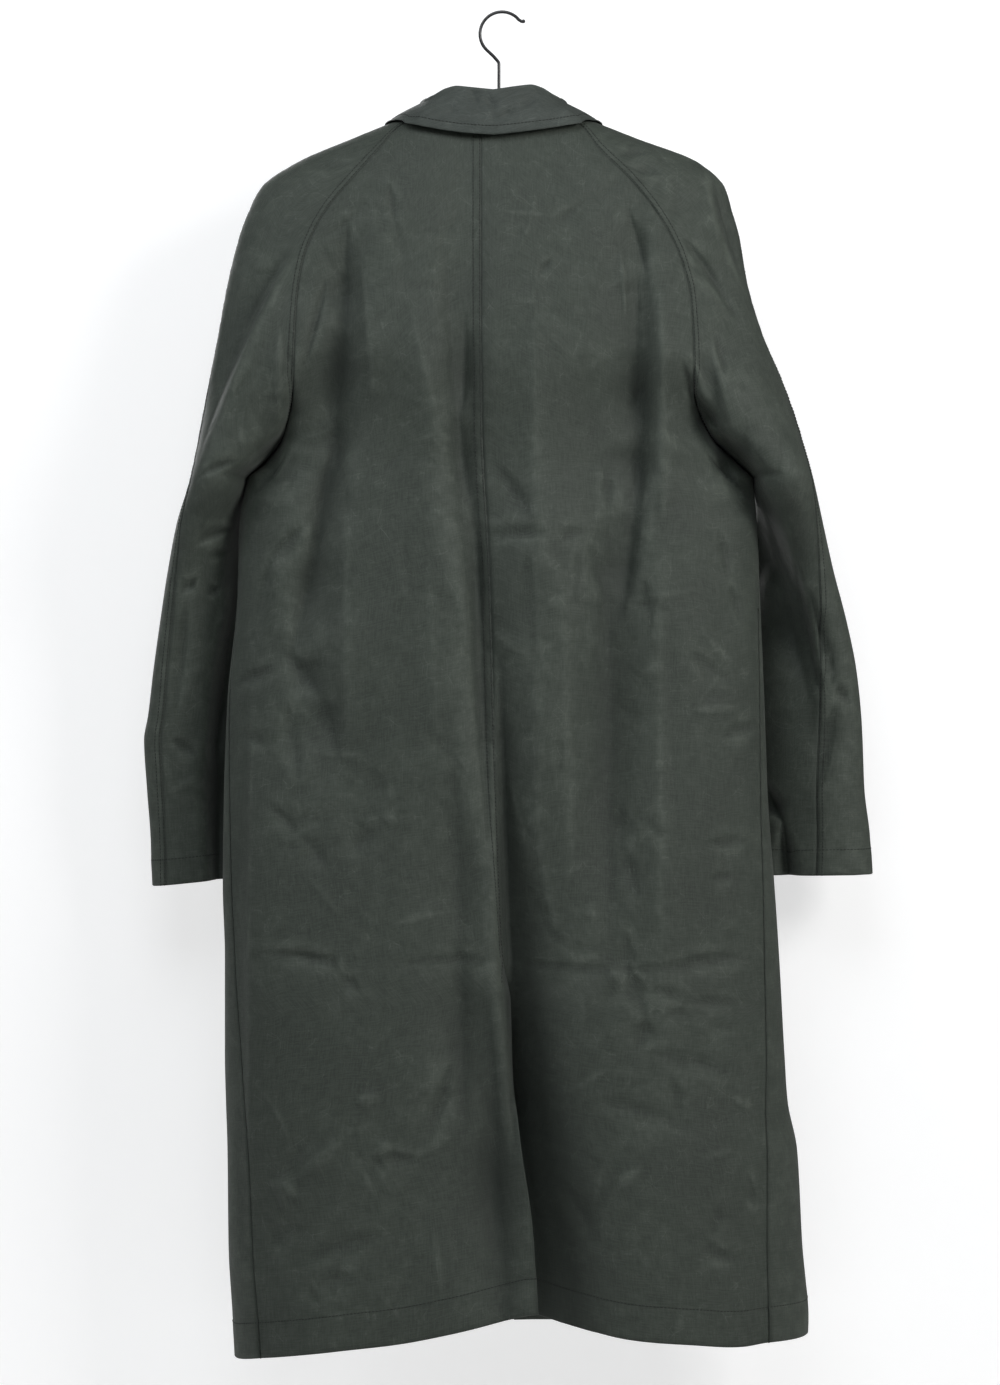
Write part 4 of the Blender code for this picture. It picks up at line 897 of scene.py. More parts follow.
FORM = {
    ("body", BACK_FACE): (BACK_FOLDS, BACK_CREASES + small_creases(BACK_CRUMPLES)),
    ("body", FRONT_FACE): (FRONT_FOLDS, FRONT_CREASES + small_creases(FRONT_CRUMPLES)),
    ("sleeve", BACK_FACE): (SLEEVE_FOLDS, SLEEVE_BACK_CREASES + small_creases(SLEEVE_BACK_CRUMPLES)),
    ("sleeve", FRONT_FACE): ([], SLEEVE_FRONT_CREASES + small_creases(SLEEVE_FRONT_CRUMPLES)),
}


def own_sink(tube, x, z, face):
    """How far the own folds and creases of the body or the sleeves sink."""
    folds, creases = FORM[tube, face]
    return fold_depth(folds, x, z) + crease_depth(creases, x, z)


def sink(tube, x, z, face):
    """How far the body or a sleeve sinks; above the underarm the folds run on past the seam."""
    near_other = 1 - ease((UNDERARM_Z - z) / FOLDS_PART_OVER)
    return own_sink(tube, x, z, face) + near_other * own_sink(OTHER_TUBE[tube], x, z, face)


def whole_section(x, z, face):
    """Depth and edge distance of the coat taken as one tube; face is -1 for back, 1 for front."""
    across = across_share(x, outer.left(z), outer.right(z))
    mid = body.mid(UNDERARM_Z) * (1 - across ** 2) * split(z, face) + outer.y(z) * across ** 2
    half = on_face(shoulder, face)(z)
    return mid + face * half * lobe(across, LOBE_POWER, 1 / LOBE_POWER), across


def body_section(x, z, face):
    """Depth and edge distance of the body tube."""
    across = across_share(x, tube_edge(body, "left", z), tube_edge(body, "right", z))
    half = on_face(body, face)(z)
    return body.mid(z) + face * half * lobe(across, LOBE_POWER, edge_root(LOBE_POWER, z, face)), across


def without_kink(section, x, z, face):
    """A section whose bend at the underarm's level is rounded off, save at its edges."""
    depth, across = section(x, z, face)
    mean = (section(x, z + KINK_REACH, face)[0] + depth + section(x, z - KINK_REACH, face)[0]) / 3
    near = np.exp(-((z - UNDERARM_Z) / KINK_REACH) ** 2) * (1 - np.abs(across) ** EDGE_FADE_POWER)
    return depth + near * (mean - depth), across


def sleeve_section(side, x, z, face):
    """Depth and edge distance of a sleeve tube."""
    inner = tube_edge(sleeve, side, z)
    edge = getattr(outer, side)(z)
    out = np.clip((x - inner) / (edge - inner), 0.0, 1.0)
    mid = sleeve.y(z) * (1 - out) + outer.y(z) * out
    half = on_face(sleeve, face)(z)
    across = 2 * out - 1
    return mid + face * half * lobe(across, SLEEVE_POWER, edge_root(SLEEVE_POWER, z, face)), across


def shell(piece, side, x, z, face):
    """Depth of the cloth at a point of the body or of a sleeve."""
    x = np.asarray(x, float)
    z = np.asarray(z, float)
    whole, whole_across = whole_section(x, z, face)
    if piece == "body":
        own, own_across = without_kink(body_section, x, z, face)
    else:
        own, own_across = sleeve_section(side, x, z, face)
    parted = split(z, face)
    depth = whole * (1 - parted) + own * parted
    across = np.abs(whole_across) * (1 - parted) + np.abs(own_across) * parted
    return depth - face * sink(piece, x, z, face) * (1 - across ** EDGE_FADE_POWER)


# Panels, each a grid of points with its columns across and its rows from hem to neck

def body_rows(counts):
    """Heights of the body's rows as fractions, hem to underarm and underarm to neck."""
    reach = UNDERARM_Z - float(hem.back(centre_back(HEM_LEVEL_Z)))
    vent = (VENT_TOP_Z + reach - UNDERARM_Z) / reach
    low = np.concatenate([
        np.linspace(0.0, vent, counts.vent, endpoint=False),
        np.linspace(vent, 1.0, counts.middle + 1),
    ])
    high = np.linspace(0.0, 1.0, counts.top + 1)[1:]
    return low, high


def rows_of_heights(hem_z, neck_z, counts):
    """Height of each grid point, from the hem's and the neck's height at each column."""
    low, high = body_rows(counts)
    below = hem_z[None, :] + (UNDERARM_Z - hem_z)[None, :] * low[:, None]
    above = UNDERARM_Z + (neck_z - UNDERARM_Z)[None, :] * high[:, None]
    return np.vstack([below, above])


def side_seam(side, z):
    """Side seam's place on the back, or the raglan seam above the underarm."""
    inset = getattr(body, "inset_" + side)(z)
    return tube_edge(body, side, z) - SIDE_SIGN[side] * np.where(z <= UNDERARM_Z, inset, 0.0)


def spread(columns, z):
    """Share of the way across at each column: even above, closer at a rounded edge lower down."""
    return columns + (np.sin(columns * math.pi / 2) - columns) * split(z)


def underlap(z):
    """Width of the right panel's vent extension at a level."""
    return VENT_UNDERLAP * ease((VENT_TOP_Z - VENT_LIFT_RUN - z) / VENT_LIFT_RUN)


def vent_lift(x, z):
    """How far the left panel stands off along the vent to lie over the right one."""
    down = ease((VENT_TOP_Z - z) / VENT_LIFT_RUN)
    return VENT_LIFT * down * (1 - ease((centre_back(z) - x) / VENT_LIFT_WIDTH))


def vent_hollow(x, z):
    """How far the right panel falls back beside the vent's edge."""
    down = ease((VENT_TOP_Z - z) / VENT_HOLLOW_RUN)
    return VENT_HOLLOW * down * np.exp(-np.abs((x - centre_back(z)) / VENT_HOLLOW_WIDTH) ** CREASE_POWER)


def back_panel(side):
    """One half of the back, from the centre-back seam to the side and raglan seams."""
    columns = np.linspace(0.0, 1.0, BACK_COLUMNS + 1)
    start = float(centre_back(HEM_LEVEL_Z))
    hem_x = start + (float(side_seam(side, HEM_LEVEL_Z)) - start) * spread(columns, HEM_LEVEL_Z)
    neck_z = NECK_BACK_Z + (RAGLAN_TOP_Z - NECK_BACK_Z) * columns ** 2
    z = rows_of_heights(hem.back(hem_x), neck_z, BACK_ROWS)
    seam = centre_back(z)
    inner = seam if side == "left" else seam - underlap(z)
    x = inner + (side_seam(side, z) - inner) * spread(columns[None, :], z)
    y = shell("body", side, x, z, BACK_FACE)
    lapped = y - vent_lift(x, z)
    if side == "left":
        y = lapped
    else:
        hollow = vent_hollow(np.maximum(x, seam), z)
        at_edge = shell("body", side, seam, z, BACK_FACE) + hollow
        under = np.maximum(at_edge, lapped + SOLID_CLOTH + VENT_CLEARANCE)
        y = np.where(x < seam, under, y + hollow)
    return np.stack([x, y, z], axis=-1)


def front_edge(side, z):
    """Free edge of a front, past the centre front by the lap."""
    return centre_front(z) - SIDE_SIGN[side] * FRONT_LAP


def front_lift(x, z):
    """How far the left front stands off to lie over the right one."""
    return FRONT_LIFT * ease((x - centre_front(z) + FRONT_LAP + 2 * FRONT_LIFT_RUN) / FRONT_LIFT_RUN)


def front_panel(side):
    """One front, from its free edge round the side to the side seam on the back."""
    columns = np.linspace(0.0, 1.0, FRONT_COLUMNS + 1)
    edge = float(tube_edge(body, side, HEM_LEVEL_Z))
    free = float(front_edge(side, HEM_LEVEL_Z))
    turn = 2 / math.pi * math.acos((float(side_seam(side, HEM_LEVEL_Z)) - free) / (edge - free))
    hem_turns = columns * (1 + turn)
    hem_x = free + (edge - free) * spread(hem_turns, HEM_LEVEL_Z)
    hem_z = np.where(hem_turns <= 1, hem.front(hem_x), hem.back(hem_x))
    neck_z = RAGLAN_TOP_Z + (NECK_FRONT_Z - RAGLAN_TOP_Z) * np.cos(columns * math.pi / 2)
    z = rows_of_heights(hem_z, neck_z, FRONT_ROWS)
    free = front_edge(side, z)
    edge = tube_edge(body, side, z)
    turn = 2 / math.pi * np.arccos(np.clip((side_seam(side, z) - free) / (edge - free), 0.0, 1.0))
    turns = columns[None, :] * (1 + turn)
    x = free + (edge - free) * spread(turns, z)
    y = np.where(turns <= 1, shell("body", side, x, z, FRONT_FACE), shell("body", side, x, z, BACK_FACE))
    if side == "left":
        y = y + front_lift(x, z) * (turns <= 1)
    return np.stack([x, y, z], axis=-1)


def overarm_points(side, fractions):
    """Points on the overarm line by the share of its length from the underarm level to the neck."""
    z = np.linspace(OVERARM_UNDER_Z, NECK_SIDE_Z, OVERARM_SAMPLES)
    x = getattr(outer, side)(z)
    length = np.concatenate([[0.0], np.cumsum(np.hypot(np.diff(x), np.diff(z)))])
    at = np.asarray(fractions) * length[-1]
    return np.interp(at, length, x), np.interp(at, length, z)


def sleeve_stations(side, counts):
    """Ends of each sleeve ring, on the overarm line and on the inner edge, from cuff to neck."""
    cuff = next(row for row in CUFFS if row.side == side)
    low = np.linspace(0.0, 1.0, counts.low + 1)
    high = np.linspace(0.0, 1.0, counts.top + 1)[1:]
    out_z = cuff.outer_z + (OVERARM_UNDER_Z - cuff.outer_z) * low
    out_x = getattr(outer, side)(out_z)
    high_x, high_z = overarm_points(side, high)
    in_z = np.concatenate([
        cuff.inner_z + (UNDERARM_Z - cuff.inner_z) * low,
        UNDERARM_Z + (RAGLAN_TOP_Z - UNDERARM_Z) * high,
    ])
    in_x = tube_edge(sleeve, side, in_z)
    return np.concatenate([out_x, high_x]), np.concatenate([out_z, high_z]), in_x, in_z


def sleeve_panel(side, half):
    """The back or front half of a sleeve, between the overarm seam and the inner edge."""
    counts = SLEEVE_BACK_ROWS if half == "back" else SLEEVE_FRONT_ROWS
    out_x, out_z, in_x, in_z = sleeve_stations(side, counts)
    seam = getattr(sleeve, "seam_" + side)(out_z)
    count = SLEEVE_BACK_COLUMNS if half == "back" else SLEEVE_FRONT_COLUMNS
    columns = np.linspace(0.0, 1.0, count + 1)[None, :]
    end = 1.0 if half == "back" else -1.0
    ring = seam[:, None] + (end - seam[:, None]) * columns
    parted = split(in_z)[:, None]
    share = (1 - np.cos(ring * math.pi)) / 2 * parted + (1 - np.cos(ring * math.pi / 2)) * (1 - parted)
    x = out_x[:, None] + (in_x - out_x)[:, None] * share
    z = out_z[:, None] + (in_z - out_z)[:, None] * share
    back = shell("sleeve", side, x, z, BACK_FACE)
    front = shell("sleeve", side, x, z, FRONT_FACE)
    return np.stack([x, np.where(ring >= 0, back, front), z], axis=-1)


# Collar

def neck_line():
    """Points along the neck seam, from the left front round the back to the right front."""
    points = []
    centre = float(centre_back(NECK_BACK_Z))
    for side in SIDES:
        sign = SIDE_SIGN[side]
        top = float(getattr(raglan, side)(RAGLAN_TOP_Z))
        free = float(front_edge(side, NECK_FRONT_Z))
        first = (float(centre_front(NECK_FRONT_Z)) + sign * COLLAR_END_GAP - free) / (top - free)
        at = first + (1 - first) * np.arange(COLLAR_FRONT_COLUMNS) / COLLAR_FRONT_COLUMNS
        z = RAGLAN_TOP_Z + (NECK_FRONT_Z - RAGLAN_TOP_Z) * np.cos(at * math.pi / 2)
        x = free + (top - free) * at
        half = [np.stack([x, shell("body", side, x, z, FRONT_FACE), z], axis=-1)]
        edge = float(getattr(outer, side)(NECK_SIDE_Z))
        ring = np.arange(2 * COLLAR_SLEEVE_COLUMNS) / COLLAR_SLEEVE_COLUMNS - 1
        share = 1 - np.cos(ring * math.pi / 2)
        x = edge + (top - edge) * share
        z = NECK_SIDE_Z + (RAGLAN_TOP_Z - NECK_SIDE_Z) * share
        back = shell("sleeve", side, x, z, BACK_FACE)
        front = shell("sleeve", side, x, z, FRONT_FACE)
        half.append(np.stack([x, np.where(ring >= 0, back, front), z], axis=-1))
        at = 1 - np.arange(COLLAR_BACK_COLUMNS) / COLLAR_BACK_COLUMNS
        x = centre + (top - centre) * at
        z = NECK_BACK_Z + (RAGLAN_TOP_Z - NECK_BACK_Z) * at ** 2
        half.append(np.stack([x, shell("body", side, x, z, BACK_FACE), z], axis=-1))
        half = np.concatenate(half)
        if side == "left":
            points.append(half)
            middle = (centre, float(shell("body", side, centre, NECK_BACK_Z, BACK_FACE)), NECK_BACK_Z)
            points.append(np.array([middle]))
        else:
            points.append(half[::-1])
    return np.concatenate(points)


def coat_level(points):
    """Zero on the shoulders' surface, negative inside it and positive outside."""
    x, y, z = points[..., 0], points[..., 1], points[..., 2]
    left = outer.left(z)
    right = outer.right(z)
    half = np.where(y < 0, shoulder.back(z), shoulder.front(z))
    across = np.abs((2 * x - left - right) / (right - left))
    return across ** LOBE_POWER + np.abs(y / half) ** LOBE_POWER - 1


def clear_of_coat(points, clearance):
    """Move points of the collar's fall out until they lie off the coat's surface."""
    for _ in range(CLEARING_ROUNDS):
        slope = np.zeros_like(points)
        for axis in range(3):
            shift = np.zeros(3)
            shift[axis] = SLOPE_STEP
            rise = coat_level(points + shift) - coat_level(points - shift)
            slope[..., axis] = rise / (2 * SLOPE_STEP)
        steepness = np.linalg.norm(slope, axis=-1)
        missing = clearance - coat_level(points) / steepness
        missing = np.where(points[..., 2] > NECK_SIDE_Z, 0.0, np.maximum(missing, 0.0))
        points = points + (missing / steepness)[..., None] * slope
    return points


def collar_grid():
    """Points of the stand and fall, in columns round the neck and rows from seam to edge."""
    neck = neck_line()
    low = neck.min(axis=0)
    high = neck.max(axis=0)
    middle = (low + high) / 2
    half = (high - low) / 2
    across = (neck[:, 0] - middle[0]) / half[0]
    deep = (neck[:, 1] - middle[1]) / half[1]
    turned = np.degrees(np.arctan2(np.abs(across), -deep))
    out = np.stack([across / half[0], deep / half[1], np.zeros(len(neck))], axis=-1)
    out /= np.linalg.norm(out, axis=-1, keepdims=True)
    up = np.array([0.0, 0.0, 1.0])
    stand = collar_table.stand(turned)[:, None]
    lean = collar_table.lean(turned)[:, None]
    reach = collar_table.reach(turned)[:, None]
    drop = collar_table.drop(turned)[:, None]
    opened = COLLAR_SPREAD * ease((turned - COLLAR_OPENS_AT) / COLLAR_SPREADS_OVER)
    sideways = np.zeros_like(neck)
    sideways[:, 0] = np.copysign(opened, across)
    clearance = COLLAR_CLEARANCE + FRONT_LIFT * ease((turned - COLLAR_OPENS_AT) / COLLAR_LIFTS_OVER)
    base = neck - out * SOLID_CLOTH + up * COLLAR_SEAM_GAP
    crown = neck + out * lean + up * (stand - COLLAR_ROLL)
    edge = neck + out * reach + sideways - up * drop
    section = []
    for i in range(STAND_ROWS):
        section.append(base + (crown - out * COLLAR_ROLL - base) * i / STAND_ROWS)
    for i in range(ROLL_ROWS + 1):
        angle = math.pi * (1 - i / ROLL_ROWS)
        section.append(crown + COLLAR_ROLL * (out * math.cos(angle) + up * math.sin(angle)))
    rolled = crown + out * COLLAR_ROLL
    for i in range(1, FALL_ROWS + 1):
        share = i / FALL_ROWS
        point = rolled + (edge - rolled) * share + out * FALL_BULGE * math.sin(math.pi * share)
        section.append(clear_of_coat(point, clearance))
    return np.stack(section, axis=1)


# Walls

def grid_normals(grid, outward):
    """Unit normals of a grid, on the side that the outward sign picks."""
    along = np.gradient(grid, axis=0)
    across = np.gradient(grid, axis=1)
    normal = np.cross(across, along)
    normal /= np.linalg.norm(normal, axis=-1, keepdims=True)
    return normal * outward


def lengths_across(grid):
    """Length along each row from its first column."""
    step = np.linalg.norm(np.diff(grid, axis=1), axis=-1)
    return np.concatenate([np.zeros((grid.shape[0], 1)), np.cumsum(step, axis=1)], axis=1)


def lengths_along(grid):
    """Length along each column from its first row."""
    step = np.linalg.norm(np.diff(grid, axis=0), axis=-1)
    return np.concatenate([np.zeros((1, grid.shape[1])), np.cumsum(step, axis=0)], axis=0)


def blurred(grid):
    """The grid with its small forms smoothed away."""
    smooth = grid
    for _ in range(BLUR_ROUNDS):
        padded = np.pad(smooth, ((1, 1), (1, 1), (0, 0)), mode="reflect", reflect_type="odd")
        near = padded[:-2, 1:-1] + padded[2:, 1:-1] + padded[1:-1, :-2] + padded[1:-1, 2:]
        smooth = smooth / 2 + near / 8
    return smooth


def border_steps(grid):
    """Index of each border line of a grid, with the unit steps from it to the line inside it."""
    for edge, inside in ((0, 1), (-1, -2)):
        for here, there in (((edge,), (inside,)), ((slice(None), edge), (slice(None), inside))):
            step = grid[there] - grid[here]
            yield here, step / np.linalg.norm(step, axis=-1, keepdims=True)


def draw_back(grid, distance):
    """Move a grid's border in by a distance, to leave the seam's gap."""
    moved = grid.copy()
    for edge, step in border_steps(grid):
        moved[edge] += distance * step
    return moved


def border_indices(rows, columns):
    """Indices of a grid's border points, once round."""
    border = [c for c in range(columns)]
    border += [r * columns + columns - 1 for r in range(1, rows)]
    border += [(rows - 1) * columns + c for c in range(columns - 2, -1, -1)]
    border += [r * columns for r in range(rows - 2, 0, -1)]
    return np.array(border)


def wall_mesh(name, grid, normals, thickness, marks):
    """A closed wall under a grid, its outer face on the grid and its border rounded."""
    rows, columns = grid.shape[:2]
    inner = grid - normals * thickness[..., None]
    border = border_indices(rows, columns)
    pushed = (grid + inner) / 2
    for edge, step in border_steps(grid):
        pushed[edge] -= step * thickness[edge][:, None] * EDGE_ROUND
    count = rows * columns
    ring = pushed.reshape(-1, 3)[border]
    points = np.concatenate([grid.reshape(-1, 3), inner.reshape(-1, 3), ring])
    index = np.arange(count).reshape(rows, columns)
    a, b = index[:-1, :-1].ravel(), index[:-1, 1:].ravel()
    c, d = index[1:, 1:].ravel(), index[1:, :-1].ravel()
    top = np.stack([a, b, c, d], axis=-1)
    bottom = np.stack([a, d, c, b], axis=-1) + count
    order = np.arange(len(border))
    following = np.roll(order, -1)
    upper = np.stack([border[following], border, 2 * count + order, 2 * count + following], axis=-1)
    lower = np.stack(
        [2 * count + following, 2 * count + order, count + border, count + border[following]], axis=-1)
    faces = np.concatenate([top, bottom, upper, lower])
    mesh = new_mesh(name, points.tolist(), faces.tolist())
    flat = np.stack([lengths_across(grid), lengths_along(grid)], axis=-1).reshape(-1, 2)
    place = np.concatenate([flat, flat, flat[border]])
    loops = np.empty(len(mesh.loops), dtype=np.int32)
    mesh.loops.foreach_get("vertex_index", loops)
    layer = mesh.uv_layers.new(name="Cloth")
    layer.data.foreach_set("uv", place[loops].ravel().astype(np.float32))
    for mark, values in marks.items():
        flat_values = values.reshape(-1)
        attribute = mesh.attributes.new(mark, "FLOAT", "POINT")
        everywhere = np.concatenate([flat_values, flat_values, flat_values[border]])
        attribute.data.foreach_set("value", everywhere.astype(np.float32))
    if signed_volume(points, faces) < 0:
        mesh.flip_normals()
    mesh.shade_smooth()
    return mesh


def signed_volume(points, faces):
    """Volume inside a mesh of quads, negative when its faces point inwards."""
    a, b, c, d = (points[faces[:, i]] for i in range(4))
    first = np.einsum("ij,ij->i", a, np.cross(b, c))
    second = np.einsum("ij,ij->i", a, np.cross(c, d))
    return float((first + second).sum() / 6)


def band(distance, start, end, soft):
    """1 between two distances and 0 outside them, with soft edges."""
    return ease((distance - start) / soft + 0.5) * ease((end - distance) / soft + 0.5)


def dent(distance, at, width):
    """A soft line at a distance."""
    return np.exp(-((distance - at) / width) ** 2)


def puckers(distance, along, seed):
    """Uneven small waves that a seam draws into the cloth beside it."""
    draw = np.random.default_rng(seed)
    wave = np.zeros_like(along)
    for share in PUCKER_WAVES:
        wave += np.sin(2 * math.pi * along * share / PUCKER_PITCH + draw.uniform(0, PUCKER_PHASE))
    return wave / len(PUCKER_WAVES) * np.exp(-(distance / PUCKER_WIDTH) ** 2)


def welt_relief(distance, along, stitches, seed):
    """Relief beside a seam: its groove and puckers, and where it is felled its band and stitch lines."""
    relief = -SEAM_GROOVE * np.exp(-(distance / SEAM_GROOVE_WIDTH) ** 2)
    if stitches:
        relief = relief + WELT_HEIGHT * band(distance, SEAM_GROOVE_WIDTH, WELT_WIDTH, WELT_SOFT)
    for at in stitches:
        relief = relief - STITCH_DENT * dent(distance, at, STITCH_DENT_WIDTH)
    return relief + PUCKER_DEPTH * puckers(distance, along, seed)


def rub_and_shade_marks(grid, normals):
    """How far each point stands up over the cloth around it, -1 to 1: pale wear when raised, painted shade
    when sunken.
    """
    proud = np.einsum("ijk,ijk->ij", grid - blurred(grid), normals)
    return np.clip(proud / RUB_RISE, -1.0, 1.0)


def painted_shade_marks(piece, grid, face, to_seam):
    """Painted shade of each point, 0 to 1: darker the deeper it lies in a fold or the vent's hollow, and near
    a seam.
    """
    x, z = grid[..., 0], grid[..., 2]
    depth = sink(piece, x, z, face)
    if piece == "body" and face == BACK_FACE:
        seam = centre_back(z)
        depth = depth + vent_hollow(np.maximum(x, seam), z) * (grid[:, -1:, 0] > seam)
    shaded = SEAM_SHADE * np.exp(-(to_seam / SEAM_SHADE_WIDTH) ** 2)
    return np.maximum(np.clip((depth - DEEP_START) / DEEP_RANGE, 0.0, 1.0), shaded)


def line_beside(panel, distance, from_last=False, rows=None):
    """Points at a distance, or one for each row, from a panel's first or last column."""
    order = slice(None, None, -1 if from_last else 1)
    grid = panel.grid[:, order]
    lifted = grid + panel.normals[:, order] * STITCH_LIFT
    lengths = lengths_across(grid)
    rows = range(len(grid)) if rows is None else rows
    found = []
    for r, wanted in zip(rows, np.broadcast_to(distance, len(rows))):
        at = min(wanted, lengths[r, -1])
        found.append([np.interp(at, lengths[r], lifted[r, :, axis]) for axis in range(3)])
    return np.array(found)


def line_above(panel, distance):
    """Points at a distance above a panel's first row, one for each column."""
    lifted = panel.grid + panel.normals * STITCH_LIFT
    lengths = lengths_along(panel.grid)
    found = []
    for c in range(lengths.shape[1]):
        found.append([np.interp(distance, lengths[:, c], lifted[:, c, axis]) for axis in range(3)])
    return np.array(found)


# Shader node groups and materials

def set_inputs(node, values):
    """Set a node's sockets by their names."""
    for name, value in values.items():
        node.inputs[name].default_value = value


def add_node(tree, kind, values=None, **settings):
    """Add a node with its settings and its sockets' values."""
    node = tree.nodes.new(kind)
    for name, setting in settings.items():
        setattr(node, name, setting)
    set_inputs(node, values or {})
    return node


def link_nodes(tree, *rows):
    """Link sockets; each row names a node and its output, then a node and its input."""
    for giver, output, taker, entry in rows:
        tree.links.new(giver.outputs[output], taker.inputs[entry])


def new_group(name, kind, inputs, outputs):
    """A node group with named sockets of these kinds, and its input and output nodes."""
    group = bpy.data.node_groups.new(name, kind)
    for way, sockets in (("INPUT", inputs), ("OUTPUT", outputs)):
        for label, socket in sockets.items():
            group.interface.new_socket(name=label, in_out=way, socket_type="NodeSocket" + socket)
    return group, group.nodes.new("NodeGroupInput"), group.nodes.new("NodeGroupOutput")


def math_node(tree, operation, *values, kind="ShaderNodeMath"):
    """Result of a Math node, or of a Vector Math one, on sockets and plain values."""
    node = add_node(tree, kind, operation=operation)
    for socket, value in zip(node.inputs, values):
        if isinstance(value, bpy.types.NodeSocket):
            tree.links.new(value, socket)
        else:
            socket.default_value = value
    return node.outputs[0]


def times(tree, first, second):
    """Product of two sockets or numbers."""
    return math_node(tree, "MULTIPLY", first, second)


def weighted(tree, *terms):
    """Sum of sockets, each times its weight."""
    total, *others = [times(tree, value, weight) for value, weight in terms]
    for part in others:
        total = math_node(tree, "ADD", total, part)
    return total


def mix_colours(tree, share, first, second):
    """A Mix node between two colours, whose colour sockets are found by number."""
    node = add_node(tree, "ShaderNodeMix", data_type="RGBA")
    for number, socket in ((0, share), (6, first), (7, second)):
        tree.links.new(socket, node.inputs[number])
    return node.outputs[2]


def mapped(tree, value, low, high, to_low=0.0, to_high=1.0):
    """A clamped Map Range node."""
    node = add_node(tree, "ShaderNodeMapRange",
                    {"From Min": low, "From Max": high, "To Min": to_low, "To Max": to_high})
    tree.links.new(value, node.inputs["Value"])
    return node.outputs[0]


def noise(tree, place, values):
    """A Noise Texture node over a place."""
    node = add_node(tree, "ShaderNodeTexNoise", values)
    tree.links.new(place, node.inputs["Vector"])
    return node


def facet_edges(tree, place, scale):
    """Distance to the nearest edge between bent facets of cloth."""
    bend = noise(tree, place, {"Scale": scale / 2, "Detail": BEND_DETAIL}).outputs["Color"]
    bent = math_node(tree, "MULTIPLY_ADD", bend, (1 / scale,) * 3, place, kind="ShaderNodeVectorMath")
    cells = add_node(tree, "ShaderNodeTexVoronoi", {"Scale": scale}, feature="DISTANCE_TO_EDGE")
    tree.links.new(bent, cells.inputs["Vector"])
    return cells.outputs["Distance"]


def waxed_cloth_group():
    """Node group for dry waxed cotton: clouded colour, pale rubbed ridges, painted shade in hollows, folds
    and seams, weave and grain.
    """
    name = "waxed_cloth_surface"
    if name in bpy.data.node_groups:
        return bpy.data.node_groups[name]
    group, source, result = new_group(
        name, "ShaderNodeTree", {"Cloth": "Color", "Pale": "Color", "Dark": "Color"},
        {"Color": "Color", "Roughness": "Float", "Height": "Float"})
    place = group.nodes.new("ShaderNodeTexCoord").outputs
    # The first mark is raised or sunken cloth, the second the painted shade of folds and seams
    rub, deep = (
        add_node(group, "ShaderNodeAttribute", attribute_name=mark).outputs["Fac"]
        for mark in ("rub", "deep"))
    clouds, blotches, grain = (
        noise(group, place["Object"], values).outputs["Fac"] for values in (CLOUDS, BLOTCHES, GRAIN))
    edges = [facet_edges(group, place["Object"], facet.scale) for facet in FACETS]
    weave = []
    for direction in ("X", "Y"):
        wave = add_node(group, "ShaderNodeTexWave", {"Scale": WEAVE_SCALE}, bands_direction=direction)
        group.links.new(place["UV"], wave.inputs["Vector"])
        weave.append(wave.outputs["Fac"])
    streaks = []
    for stretch in SLUB_STRETCHES:
        pulled = math_node(group, "MULTIPLY", place["UV"], stretch, kind="ShaderNodeVectorMath")
        streaks.append(noise(group, pulled, SLUBS).outputs["Fac"])
    slubs = mapped(group, math_node(group, "ADD", *streaks), *SPANS.slubs)
    cloudy = mapped(group, clouds, *SPANS.cloudy)
    blotched = mapped(group, blotches, *SPANS.blotched)
    grained = mapped(group, grain, *SPANS.grained)
    # Sunken cloth, which takes painted shade
    hollow = mapped(group, rub, *SPANS.hollow)
    worn = times(group, mapped(group, rub, *SPANS.ridge), mapped(group, blotches, *SPANS.wear))
    broken = mapped(group, blotches, *SPANS.broken)
    creased = mapped(group, clouds, *SPANS.creased)
    cracks = []
    folds = []
    for edge, facet in zip(edges, FACETS):
        line = mapped(group, edge, 0.0, facet.line, 1.0, 0.0)
        cracks.append((times(group, line, broken), PALE.crack))
        folds.append((times(group, edge, creased), facet.height))
    pale = weighted(group, (worn, PALE.worn), (times(group, cloudy, blotched), PALE.cloudy),
                    (grained, PALE.grained), (slubs, PALE.slubs), *cracks)
    # Dark: painted shade in sunken cloth, and the cloth's own darker clouds
    dark = weighted(group, (hollow, DARK.hollow), (mapped(group, cloudy, 0.0, 1.0, 1.0, 0.0), DARK.clear))
    colour = mix_colours(group, dark, source.outputs["Cloth"], source.outputs["Dark"])
    colour = mix_colours(group, pale, colour, source.outputs["Pale"])
    # Painted shade in folds, in the vent's hollow and along the seams
    colour = mix_colours(group, times(group, deep, DARK.deep), colour, source.outputs["Dark"])
    rough = math_node(group, "ADD", mapped(group, cloudy, *SPANS.rough),
                      times(group, grained, GRAIN_ROUGHNESS))
    height = weighted(group, (times(group, *weave), HEIGHT.weave), (grain, HEIGHT.grain),
                      (blotches, HEIGHT.blotches), *folds)
    for label, socket in (("Color", colour), ("Roughness", rough), ("Height", height)):
        group.links.new(socket, result.inputs[label])
    return group


